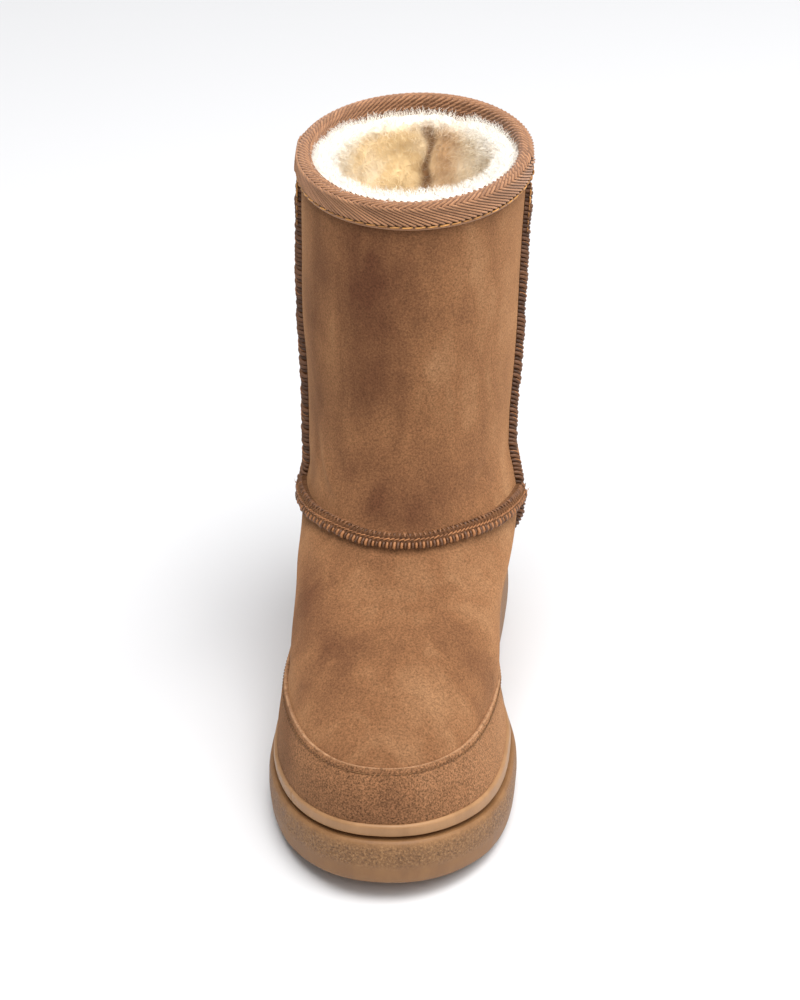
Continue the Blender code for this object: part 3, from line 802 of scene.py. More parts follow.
@dataclass
class Finishes:
    """One made material for each finish of the boot."""

    suede: Material = field(default_factory=lambda: Suede("suede_upper").make())
    overlay: Material = field(default_factory=lambda: Suede(
        "suede_overlay", pale="#AF8562", body="#8A6142", deep="#5F3D2A", patch=34 * MM,
        grain=0.85 * MM, contrast=0.75, uneven=0.4).make())
    whipping: Material = field(default_factory=lambda: Thread("whipping_thread").make())
    seam_core: Material = field(default_factory=lambda: Suede(
        "seam_edge", pale="#86603F", body="#67442C", deep="#452C1C", brush=5 * MM).make())
    stitch: Material = field(default_factory=lambda: Thread(
        "stitching_thread", dark="#5A3A1E", light="#8C6236", roughness=0.6).make())
    # Golden thread of the collar stitches; on the side seams its stitches are painted glints of
    # the thread.
    gold_thread_and_glint: Material = field(default_factory=lambda: Thread(
        "golden_thread_and_glints", dark="#8A5B2E", light="#D69A55", roughness=0.4).make())
    tape: Material = field(default_factory=lambda: Tape("herringbone_tape").make())
    wool: Material = field(default_factory=lambda: Wool("sheeps_wool").make())
    sole: Material = field(default_factory=lambda: Rubber("sole_rubber").make())
    rand: Material = field(default_factory=lambda: Rubber(
        "rand_rubber", body="#98704A", scuffed="#AC8259", roughness=0.45).make())


@dataclass
class Part:
    """A piece of the boot, made on its form in its finishes."""

    form: BootForm
    finishes: Finishes


@dataclass(frozen=True)
class SeamPath:
    """A line on the upper with its directions at each step."""

    points: np.ndarray
    along: np.ndarray
    out: np.ndarray
    side: np.ndarray

    @classmethod
    def on(cls, form: BootForm, levels: np.ndarray, ways: np.ndarray, lift: float = 0.0,
           count: int = 300) -> "SeamPath":
        """Path through levels and ways, evenly stepped.

        Args:
            form: The boot's form.
            levels: Level at each sample.
            ways: Way round at each sample.
            lift: Distance outward from the surface.
            count: Steps of the finished path.

        Returns:
            The path.
        """
        rough = form.at(levels, ways, lift)
        run = np.concatenate([[0], np.cumsum(np.linalg.norm(np.diff(rough, axis=0), axis=1))])
        even = np.linspace(0, run[-1], count)
        level = np.interp(even, run, levels)
        way = np.interp(even, run, ways)
        points = form.at(level, way, lift)
        along = unit(np.gradient(points, axis=0))
        out = form.normal(level, way)
        side = unit(np.cross(along, out))
        return cls(points, along, np.cross(side, along), side)

    @property
    def length(self) -> float:
        """Length of the path."""
        return float(np.linalg.norm(np.diff(self.points, axis=0), axis=1).sum())

    def moved(self, out: float | np.ndarray = 0.0, side: float | np.ndarray = 0.0) -> "SeamPath":
        """The same path moved outward and sideways."""
        out = np.asarray(out, float) * np.ones(len(self.points))
        side = np.asarray(side, float) * np.ones(len(self.points))
        points = self.points + self.out * out[:, None] + self.side * side[:, None]
        return SeamPath(points, self.along, self.out, self.side)

    def start(self, length: float) -> "SeamPath":
        """The path's first part, of a length."""
        kept = round(len(self.points) * length / self.length)
        return SeamPath(self.points[:kept], self.along[:kept], self.out[:kept], self.side[:kept])


@dataclass(frozen=True)
class StitchRow:
    """Stitches that follow a path, made with Geometry Nodes.

    Each stitch is one arched length of thread, drawn in the stitch's own frame:
    X along the path, Y across it and Z outward.
    """

    name: str
    pitch: float
    span: tuple[float, float, float]
    rise: float
    thread: float
    steps: int = 6
    sides: int = 5
    wobble: float = 0.06
    tones: tuple[float, float] = (0.0, 1.0)
    alternate: bool = False
    seed: int = 3

    # The tree's inputs that are named after the fields above
    SOCKETS = (
        ("Pitch", "Float"), ("Span", "Vector"), ("Rise", "Float"), ("Thread", "Float"),
        ("Steps", "Int"), ("Sides", "Int"), ("Wobble", "Float"), ("Seed", "Int"),
        ("Alternate", "Bool"),
    )

    def _tree(self) -> NodeTree:
        """The node tree that all rows share."""
        made = bpy.data.node_groups.get("stitch_row")
        if made:
            return made
        tree = new_group("stitch_row", (
            *self.SOCKETS, ("Low Tone", "Float"), ("High Tone", "Float")))
        given = add_node(tree, "NodeGroupInput").outputs
        line = add_node(tree, "GeometryNodeMeshToCurve", {"Mesh": given["Geometry"]})
        even = add_node(tree, "GeometryNodeResampleCurve", {
            "Curve": line, "Length": given["Pitch"]}, mode="LENGTH")
        outward = add_node(tree, "GeometryNodeInputNamedAttribute", {
            "Name": "out"}, data_type="FLOAT_VECTOR")
        tangent = add_node(tree, "GeometryNodeInputTangent")
        turn = add_node(tree, "FunctionNodeAxesToRotation", {
            0: outward, 1: tangent}, primary_axis="Z", secondary_axis="X")
        half = add_node(tree, "ShaderNodeVectorMath", {
            0: given["Span"], "Scale": 0.5}, operation="SCALE")
        start = add_node(tree, "ShaderNodeVectorMath", {0: half, "Scale": -1.0}, operation="SCALE")
        up = add_node(tree, "ShaderNodeCombineXYZ", {"Z": given["Rise"]})
        start_handle = add_node(tree, "ShaderNodeVectorMath", {0: start, 1: up}, operation="ADD")
        end_handle = add_node(tree, "ShaderNodeVectorMath", {0: half, 1: up}, operation="ADD")
        arch = add_node(tree, "GeometryNodeCurvePrimitiveBezierSegment", {
            "Resolution": given["Steps"], "Start": start, "Start Handle": start_handle,
            "End Handle": end_handle, "End": half}, mode="POSITION")
        circle = add_node(tree, "GeometryNodeCurvePrimitiveCircle", {
            "Resolution": given["Sides"], "Radius": given["Thread"]}, mode="RADIUS")
        tube = add_node(tree, "GeometryNodeCurveToMesh", {
            "Curve": arch, "Profile Curve": circle, "Fill Caps": True})
        low = add_node(tree, "ShaderNodeMath", {0: 1.0, 1: given["Wobble"]}, operation="SUBTRACT")
        high = add_node(tree, "ShaderNodeMath", {0: 1.0, 1: given["Wobble"]}, operation="ADD")
        size = add_node(tree, "FunctionNodeRandomValue", {
            2: low, 3: high, "Seed": given["Seed"]}, data_type="FLOAT")
        growth = add_node(tree, "GeometryNodeInputNamedAttribute", {
            "Name": "grow"}, data_type="FLOAT")
        grown = add_node(tree, "ShaderNodeMath", {0: size, 1: growth}, operation="MULTIPLY")
        each = add_node(tree, "GeometryNodeInstanceOnPoints", {
            "Points": even, "Instance": tube, "Rotation": turn, "Scale": grown})
        number = add_node(tree, "GeometryNodeInputIndex")
        odd = add_node(tree, "ShaderNodeMath", {0: number, 1: 2.0}, operation="MODULO")
        chance = add_node(tree, "FunctionNodeRandomValue", {
            2: 0.0, 3: 1.0, "Seed": given["Seed"]}, data_type="FLOAT")
        choice = add_node(tree, "GeometryNodeSwitch", {
            "Switch": given["Alternate"], "False": chance, "True": odd}, input_type="FLOAT")
        tone = add_node(tree, "ShaderNodeMapRange", {
            "Value": choice, "To Min": given["Low Tone"], "To Max": given["High Tone"]})
        toned = add_node(tree, "GeometryNodeStoreNamedAttribute", {
            "Geometry": each, "Name": "tone", "Value": tone}, data_type="FLOAT", domain="INSTANCE")
        end_group(tree, toned, given["Material"])
        return tree

    def sew(self, paths: Sequence[SeamPath], made: Material,
            slot: Slot, grow: np.ndarray | None = None) -> Object:
        """Sews the row along paths.

        Args:
            paths: The lines that the stitches follow.
            made: The thread's material.
            slot: The record's slot; not used.
            grow: Size of a stitch at each point of the paths, or None for 1.

        Returns:
            A plain mesh of all stitches.
        """
        points = np.concatenate([path.points for path in paths])
        outward = np.concatenate([path.out for path in paths])
        edges: list[tuple[int, int]] = []
        first = 0
        for path in paths:
            edges += [(first + i, first + i + 1) for i in range(len(path.points) - 1)]
            first += len(path.points)
        line = bpy.data.meshes.new(f"{self.name}_path")
        line.from_pydata(points.tolist(), edges, [])
        facing = line.attributes.new("out", "FLOAT_VECTOR", "POINT")
        facing.data.foreach_set("vector", outward.ravel().astype(np.float32))
        hold(line, "grow", np.ones(len(points)) if grow is None else grow)
        guide = linked(f"{self.name}_guide", line)
        tree = self._tree()
        rows = guide.modifiers.new("stitches", "NODES")
        rows.node_group = tree
        values = {label: getattr(self, label.lower()) for label, _ in self.SOCKETS}
        values["Low Tone"], values["High Tone"] = self.tones
        values["Material"] = made
        set_inputs(rows, tree, values)
        return applied(guide, self.name, made, slot)


def new_group(name: str, sockets: Sequence[tuple[str, str]]) -> NodeTree:
    """A Geometry Nodes tree with a geometry, the named inputs and a material."""
    tree = bpy.data.node_groups.new(name, "GeometryNodeTree")
    for label, kind in (("Geometry", "Geometry"), *sockets, ("Material", "Material")):
        tree.interface.new_socket(label, in_out="INPUT", socket_type=f"NodeSocket{kind}")
    tree.interface.new_socket("Geometry", in_out="OUTPUT", socket_type="NodeSocketGeometry")
    return tree


def end_group(tree: NodeTree, geometry: Node, material: NodeSocket) -> None:
    """Ends a tree: instances made real, smooth and dressed."""
    real = add_node(tree, "GeometryNodeRealizeInstances", {"Geometry": geometry})
    smooth = add_node(tree, "GeometryNodeSetShadeSmooth", {"Geometry": real})
    dressed = add_node(tree, "GeometryNodeSetMaterial", {"Geometry": smooth, "Material": material})
    add_node(tree, "NodeGroupOutput", {0: dressed})


def set_inputs(modifier: Modifier, tree: NodeTree, values: dict) -> None:
    """Sets a Geometry Nodes modifier's inputs by their identifiers."""
    for item in tree.interface.items_tree:
        if item.item_type == "SOCKET" and item.in_out == "INPUT" and item.name in values:
            modifier[item.identifier] = values[item.name]


def applied(guide: Object, name: str, made: Material, slot: Slot, *nodes: str) -> Object:
    """Turns a guide's evaluated geometry into a plain, dressed piece.

    Args:
        guide: The object that carries the live modifier; it is removed.
        name: Name of the piece.
        made: Its material.
        slot: The record's slot; not used.
        nodes: CAD nodes that it stands for.

    Returns:
        The piece.
    """
    bpy.context.view_layer.update()
    evaluated = guide.evaluated_get(bpy.context.evaluated_depsgraph_get())
    mesh = bpy.data.meshes.new_from_object(evaluated)
    mesh.name = name
    bpy.data.objects.remove(guide, do_unlink=True)
    return finish_piece(linked(name, mesh), made, slot, *nodes)


@dataclass(frozen=True)
class Fold:
    """A soft crease or ridge drawn on the upper.

    Args:
        line: (level, way) points that the fold runs through.
        height: Height of a ridge, or minus the depth of a trough.
        width: Distance from the fold's middle to where it has mostly faded.
    """

    line: tuple[tuple[float, float], ...]
    height: float
    width: float

    def relief(self, form: BootForm, points: np.ndarray) -> np.ndarray:
        """Distance that the fold moves each point outward."""
        ends = np.linspace(0, 1, len(self.line))
        fine = np.linspace(0, 1, 48)
        levels = np.interp(fine, ends, [p[0] for p in self.line])
        ways = np.interp(fine, ends, [p[1] for p in self.line])
        spine = form.at(levels, ways)
        taper = np.sin(math.pi * np.clip(fine, 0.02, 0.98)) ** 0.7
        best = np.full(len(points), 1e9)
        share = np.zeros(len(points))
        for place, amount in zip(spine, taper):
            gap = ((points - place) ** 2).sum(1)
            nearer = gap < best
            best = np.where(nearer, gap, best)
            share = np.where(nearer, amount, share)
        return self.height * share * np.exp(-best / self.width ** 2)


@dataclass(frozen=True)
class Patch:
    """A soft patch of paler or darker nap; some patches are painted shade.

    Args:
        level: Level of its middle.
        way: Way round of its middle.
        tall: Half height.
        wide: Half width.
        amount: Change of shade, brighter above 0.
    """

    level: float
    way: float
    tall: float
    wide: float
    amount: float

    def shade(self, form: BootForm, points: np.ndarray) -> np.ndarray:
        """Change of shade at each point."""
        middle = form.at(self.level, self.way)
        gap = points - middle
        flat = np.hypot(gap[:, 0], gap[:, 1]) / self.wide
        steep = gap[:, 2] / self.tall
        return self.amount * np.exp(-(flat ** 2 + steep ** 2))


# Creases of the leather, in the shoe's own levels and ways
FOLDS = (
    Fold(((1.16, -0.26), (1.10, -0.21), (1.05, -0.15)), 1.1 * MM, 3.2 * MM),
    Fold(((1.20, -0.30), (1.12, -0.27), (1.05, -0.21)), -0.9 * MM, 4.0 * MM),
    Fold(((1.04, -0.10), (1.03, 0.00), (1.04, 0.12)), -1.0 * MM, 4.5 * MM),
    Fold(((0.95, -0.12), (0.93, -0.04), (0.955, 0.06)), 0.8 * MM, 3.0 * MM),
    Fold(((0.965, -0.06), (0.955, 0.01), (0.965, 0.06)), -0.7 * MM, 2.0 * MM),
    Fold(((0.88, -0.30), (0.84, -0.20), (0.83, -0.08)), 0.7 * MM, 6.0 * MM),
    Fold(((0.86, 0.30), (0.80, 0.20), (0.78, 0.08)), -0.6 * MM, 6.0 * MM),
    Fold(((1.75, -0.22), (1.45, -0.20), (1.20, -0.16)), -0.6 * MM, 11.0 * MM),
    Fold(((1.80, 0.12), (1.50, 0.13), (1.22, 0.10)), 0.6 * MM, 10.0 * MM),
    Fold(((1.14, 0.30), (1.08, 0.22), (1.05, 0.14)), -0.9 * MM, 4.0 * MM),
    Fold(((1.12, 0.62), (1.05, 0.80), (1.08, 1.00)), -2.0 * MM, 8.0 * MM),
    Fold(((1.12, -0.62), (1.05, -0.80), (1.08, -1.00)), -2.0 * MM, 8.0 * MM),
    Fold(((0.98, 0.60), (0.92, 0.75), (0.90, 0.90)), 1.2 * MM, 7.0 * MM),
    Fold(((0.98, -0.60), (0.92, -0.75), (0.90, -0.90)), 1.2 * MM, 7.0 * MM),
    Fold(((0.62, -0.30), (0.56, -0.24), (0.52, -0.16)), -0.6 * MM, 7.0 * MM),
    Fold(((0.66, 0.34), (0.58, 0.28), (0.52, 0.20)), -0.5 * MM, 7.0 * MM),
)

# Places of paler or darker nap, some brushed and handled; the darker ones on the lateral side,
# away from the key light, are painted shade
PATCHES = (
    Patch(1.74, -0.09, 42 * MM, 20 * MM, -0.56),
    Patch(1.46, -0.06, 22 * MM, 12 * MM, -0.22),
    Patch(1.40, 0.03, 34 * MM, 10 * MM, -0.14),
    Patch(1.72, 0.20, 60 * MM, 11 * MM, 0.20),
    # painted shade: the shaft's lateral side, turned away from the key light, darker
    Patch(1.55, -0.29, 70 * MM, 13 * MM, -0.34),
    Patch(1.62, -0.19, 26 * MM, 5 * MM, 0.16),
    Patch(1.66, 0.19, 15 * MM, 6 * MM, -0.22),
    Patch(1.52, 0.11, 14 * MM, 12 * MM, 0.14),
    Patch(1.33, 0.13, 12 * MM, 16 * MM, 0.10),
    Patch(1.14, -0.14, 26 * MM, 40 * MM, -0.14),
    Patch(1.12, 0.05, 16 * MM, 40 * MM, -0.26),
    Patch(1.18, 0.13, 16 * MM, 13 * MM, 0.12),
    Patch(0.86, 0.03, 16 * MM, 30 * MM, 0.12),
    # painted shade: the vamp's lateral side, away from the key light, darker
    Patch(0.64, -0.27, 34 * MM, 15 * MM, -0.34),
    Patch(0.62, -0.19, 30 * MM, 28 * MM, -0.24),
    Patch(0.55, 0.05, 24 * MM, 26 * MM, 0.12),
    Patch(0.50, 0.22, 20 * MM, 14 * MM, -0.14),
)

# The same on the overlays
OVERLAY_PATCHES = (
    Patch(0.14, -0.04, 8 * MM, 30 * MM, -0.14),
    # painted shade: the toe guard's lateral side, away from the key light, darker
    Patch(0.22, -0.24, 18 * MM, 24 * MM, -0.85),
    Patch(0.24, 0.17, 18 * MM, 14 * MM, 0.12),
    Patch(0.30, 0.08, 8 * MM, 16 * MM, 0.15),
    Patch(0.28, -0.16, 8 * MM, 12 * MM, 0.12),
)


@dataclass
class Upper(Part):
    """The suede shell, one hollow wall from the feather line to the collar."""

    rows: int = 210
    columns: int = 300
    inner_rows: int = 36

    def relief(self, levels: np.ndarray, points: np.ndarray) -> np.ndarray:
        """Height of the leather's folds over the form."""
        flat = points.reshape(-1, 3)
        total = np.zeros(len(flat))
        for fold in FOLDS:
            total += fold.relief(self.form, flat)
        sag = [noise.noise(Vector(p) * 22.0) for p in flat]
        total += 0.7 * MM * np.array(sag)
        fade = ease(levels / 0.12) * ease((2.0 - levels) / 0.10)
        for side in Side:
            seam = np.array([self.form.seam_way(float(level), side) for level in levels[:, 0]])
            line = self.form.at(levels[:, 0], seam)
            gap = np.linalg.norm(points - line[:, None], axis=-1)
            fade = fade * ease((gap - 2.5 * MM) / (9.0 * MM))
        return total.reshape(levels.shape) * fade

    def build(self) -> Object:
        """Makes and dresses the shell."""
        form = self.form
        ways = ways_round(self.columns)
        levels = np.linspace(0, 2, self.rows)
        level_grid, way_grid = np.meshgrid(levels, ways, indexing="ij")
        skin = form.at(level_grid, way_grid)
        relief = self.relief(level_grid, skin)
        outer = skin + form.normal(level_grid, way_grid) * relief[..., None]
        inner_levels = np.linspace(2, 0, self.inner_rows)
        inner = form.at(inner_levels[:, None], ways[None], -form.WALL)
        rings = np.concatenate([outer, inner])
        shade = np.zeros(rings.shape[:2])
        flat = skin.reshape(-1, 3)
        for patch in PATCHES:
            shade[:self.rows] += patch.shade(form, flat).reshape(level_grid.shape)
        faces = loft(len(rings), self.columns, True, True)
        thing = piece("suede_upper", rings, faces, {"shade": shade})
        return finish_piece(thing, self.finishes.suede, Slot.SUEDE, "upper")


@dataclass
class Overlay(Part):
    """A cut piece of suede on the upper, with a rounded edge and one row of stitches."""

    name: str
    node: str
    tops: Table
    middle: float
    probe_levels: tuple[float, ...]
    thickness: float = 1.5 * MM
    lift: float = 0.4 * MM
    edge_inset: float = 2.3 * MM
    stitch_pitch: float = 2.3 * MM
    seam_gap: float = 3.1 * MM
    rand_lap: float = 0.8 * MM
    columns: int = 740
    rows: int = 42

    def _end_way(self, side: Side) -> float:
        """Way round of the end beside a side seam, counted from the middle."""
        places = []
        for level in self.probe_levels:
            way = self.form.seam_way(level, side)
            step = 0.01
            nearby = self.form.at(level, way + step) - self.form.at(level, way)
            trim = step * self.seam_gap / float(np.linalg.norm(nearby))
            if self.middle == 0:
                places.append(abs(way) - trim)
            else:
                places.append(1 - abs(way) - trim)
        return min(places)

    def _ways(self) -> tuple[np.ndarray, np.ndarray]:
        """Shares from end to end, and their ways round."""
        share = np.linspace(-1, 1, self.columns)
        first = self._end_way(Side.LATERAL if self.middle == 0 else Side.MEDIAL)
        last = self._end_way(Side.MEDIAL if self.middle == 0 else Side.LATERAL)
        ways = self.middle + np.where(share < 0, share * first, share * last)
        return share, ways

    def stitch_path(self) -> SeamPath:
        """Line of the stitches, an inset below the top edge."""
        share, ways = self._ways()
        inset = self.form.foot_level(self.edge_inset) * 1.08
        tops = column(self.tops, 1, np.abs(share)) - inset
        keep = slice(6, -6)
        return SeamPath.on(self.form, tops[keep], ways[keep], self.lift + self.thickness, 900)

    def build(self) -> Object:
        """Makes and dresses the overlay and its stitches."""
        form = self.form
        share, ways = self._ways()
        tops = column(self.tops, 1, np.abs(share))
        low = form.foot_level(Rand.height - self.rand_lap)
        v = 1 - np.linspace(1, 0, self.rows) ** 1.9
        levels = low + v[:, None] * (tops - low)[None]
        depth = (tops[None] - levels) * (form.INSTEP_HEIGHT - form.HEEL_STACK)
        stitch_dip = np.exp(-((depth - self.edge_inset) / (0.36 * MM)) ** 2)
        run = np.linalg.norm(np.diff(form.at(tops, ways), axis=0), axis=1)
        run = np.concatenate([[0], np.cumsum(run)])
        pucker = 0.5 + 0.5 * np.cos(2 * math.pi * run / self.stitch_pitch)
        dip = stitch_dip * (0.06 + 0.30 * pucker[None]) * MM
        round_off = 0.55 * MM * (1 - ease(depth / (8.0 * MM)))
        round_off += 0.40 * MM * (1 - ease(depth / (0.6 * MM)))
        swell = 0.15 * MM * np.array([[noise.noise(Vector(p) * 90.0) for p in row]
                                      for row in form.at(levels, ways[None])])
        out = self.lift + self.thickness - dip - round_off + swell
        outer = form.at(levels, ways[None], out)
        inner_levels = low + np.linspace(1, 0, 6)[:, None] * (tops - low)[None]
        inner = form.at(inner_levels, ways[None], -0.3 * MM)
        rings = np.concatenate([outer, inner])
        # Pale band along the top edge: the cut edge's own paler colour, and a painted highlight
        # along the raised edge.
        cut = np.zeros(rings.shape[:2])
        fray = np.array([noise.noise(Vector(p) * 500.0) for p in form.at(tops, ways)])
        cut[:self.rows] = (0.55 + 0.5 * fray) * np.exp(-((depth - 0.1 * MM) / (0.34 * MM)) ** 2)
        shade = np.zeros(rings.shape[:2])
        # Painted shade: dark dashes where the stitch line dips deepest, at the needle holes.
        shade[:self.rows] = -0.7 * stitch_dip * pucker[None] ** 2
        for patch in OVERLAY_PATCHES:
            shade[:self.rows] += patch.shade(form, outer.reshape(-1, 3)).reshape(depth.shape)
        sections = rings.transpose(1, 0, 2)
        faces = tube_faces(*sections.shape[:2])
        thing = piece(self.name, sections, faces, {"cut": cut.T, "shade": shade.T})
        finish_piece(thing, self.finishes.overlay, Slot.OVERLAY, self.node)
        row = StitchRow(f"{self.name}_stitches", self.stitch_pitch, (1.6 * MM, 0.35 * MM, 0),
                        0.36 * MM, 0.25 * MM, tones=(0.1, 0.7))
        row.sew([self.stitch_path().moved(-0.46 * MM)], self.finishes.stitch, Slot.EDGE)
        return thing


@dataclass
class WhippedSeam(Part):
    """A raised seam: two edges of sheepskin held together by wrapped thread."""

    name: str
    node: str
    path: SeamPath
    width: float = 3.9 * MM
    height: float = 2.9 * MM
    pitch: float = 2.1 * MM
    sunk: float = 1.4 * MM
    tuck: float = 0.0
    glint_side: float = 0.0
    around: int = 18
    scallop: float = 0.16
    cleft: float = 0.18
    # Half of the angle that the roll's section fills
    wrap: float = 0.62 * math.pi

    def _tuck(self, run: np.ndarray) -> np.ndarray:
        """Share of the full height along the run, lower where it goes under the tape."""
        if not self.tuck:
            return np.ones_like(run)
        return 0.55 + 0.45 * ease(run / self.tuck)

    def _core(self, run: np.ndarray, tuck: np.ndarray) -> Object:
        """Makes the two edges, pressed together and pinched at each turn of thread."""
        path = self.path
        beat = np.abs(np.sin(math.pi * run / self.pitch))
        swell = 1 - self.scallop + self.scallop * beat
        angles = np.linspace(-self.wrap, self.wrap, self.around)
        across = np.sin(angles) * 0.5
        low = math.cos(self.wrap)
        rise = (np.cos(angles) - low) / (1 - low)
        rise = rise - self.cleft * np.exp(-(across / 0.10) ** 2)
        x = across[None] * self.width * swell[:, None]
        tall = (self.height + self.sunk) * tuck * swell
        z = rise[None] * tall[:, None] - self.sunk
        end = ease(np.minimum(run, run[-1] - run) / (1.6 * MM))[:, None]
        x = x * (0.35 + 0.65 * end)
        z = z * (0.30 + 0.70 * end)
        sections = (path.points[:, None] + path.side[:, None] * x[..., None]
                    + path.out[:, None] * z[..., None])
        faces = tube_faces(*sections.shape[:2])
        # Painted shade: the edges darken where each turn of thread pinches them.
        shade = -0.35 * (1 - beat[:, None]) * np.ones_like(x)
        thing = piece(self.name, sections, faces, {"shade": shade})
        return finish_piece(thing, self.finishes.seam_core, Slot.EDGE, self.node)

    def build(self) -> Object:
        """Makes and dresses the seam's edges and its thread."""
        run = np.linspace(0, self.path.length, len(self.path.points))
        tuck = self._tuck(run)
        thing = self._core(run, tuck)
        self._whip(tuck)
        return thing

    def _whip(self, tuck: np.ndarray) -> None:
        """Wraps the thread round the seam, with a finer strand between the turns."""
        loops = StitchRow(f"{self.name}_whipping", self.pitch,
                          (3.6 * MM, self.width * 0.96, 0), self.height * 1.20, 0.88 * MM,
                          steps=9, sides=7, wobble=0.12, tones=(-0.1, 0.28))
        loops.sew([self.path], self.finishes.whipping, Slot.EDGE, tuck)
        strand = StitchRow(f"{self.name}_strand", self.pitch,
                           (4.2 * MM, self.width * 0.90, 0), self.height * 1.34, 0.30 * MM,
                           steps=8, sides=5, wobble=0.10, tones=(0.1, 1.0), seed=9)
        strand.sew([self.path.moved(0.25 * MM)], self.finishes.whipping, Slot.EDGE, tuck)
        if self.glint_side:
            self._glints()

    def _glints(self) -> None:
        """Sews golden stitches on the front flank under the tape, a painted highlight for the
        thread's glints.
        """
        flank = self.path.moved(2.0 * MM, self.glint_side).start(26 * MM)
        row = StitchRow(f"{self.name}_glints", 3.5 * MM, (2.7 * MM, 0.6 * MM, 0), 0.4 * MM,
                        0.36 * MM, steps=5, sides=6, wobble=0.2, tones=(0.1, 1.0), seed=13)
        row.sew([flank], self.finishes.gold_thread_and_glint, Slot.EDGE)


@dataclass
class AnkleRoll(WhippedSeam):
    """The raised seam across the front: a fat roll, whipped above, barred below."""

    width: float = 6.6 * MM
    height: float = 4.3 * MM
    scallop: float = 0.06
    cleft: float = 0.10
    zigzag_pitch: float = 2.3 * MM
    bar_pitch: float = 1.6 * MM

    def _tuck(self, run: np.ndarray) -> np.ndarray:
        """Share of the full height along the run, lower at the rounded ends."""
        return 0.30 + 0.70 * ease(np.minimum(run, run[-1] - run) / (5.0 * MM))

    def _whip(self, tuck: np.ndarray) -> None:
        """Sews the zigzag along the top, the bars below and the bright middle line, partly a
        painted glint.
        """
        top = self.path.moved(1.9 * MM, -1.75 * MM)
        low = self.path.moved(1.9 * MM, 1.75 * MM)
        middle = self.path.moved(3.65 * MM, 0.2 * MM)
        for number, slant in enumerate((1.1 * MM, -1.1 * MM)):
            zigzag = StitchRow(f"{self.name}_zigzag_{number + 1}", self.zigzag_pitch,
                               (slant, 3.4 * MM, 0.9 * MM), 1.8 * MM, 0.42 * MM, steps=6,
                               sides=5, wobble=0.14, tones=(0.0, 0.55), seed=21 + number)
            zigzag.sew([top], self.finishes.whipping, Slot.EDGE, tuck)
        bars = StitchRow(f"{self.name}_bars", self.bar_pitch, (0.3 * MM, 3.7 * MM, -1.4 * MM),
                         1.8 * MM, 0.68 * MM, steps=6, sides=6, wobble=0.14,
                         tones=(0.1, 0.9), alternate=True, seed=31)
        bars.sew([low], self.finishes.whipping, Slot.EDGE, tuck)
        # Bright middle line: light thread for the pale tan fold where the edges meet, with a
        # painted glint along it.
        fold_glint = StitchRow(f"{self.name}_chain", self.zigzag_pitch, (2.2 * MM, 0.8 * MM, 0),
                          0.5 * MM, 0.32 * MM, steps=5, sides=5, wobble=0.14,
                          tones=(0.5, 1.2), seed=41)
        fold_glint.sew([middle], self.finishes.whipping, Slot.EDGE, tuck)


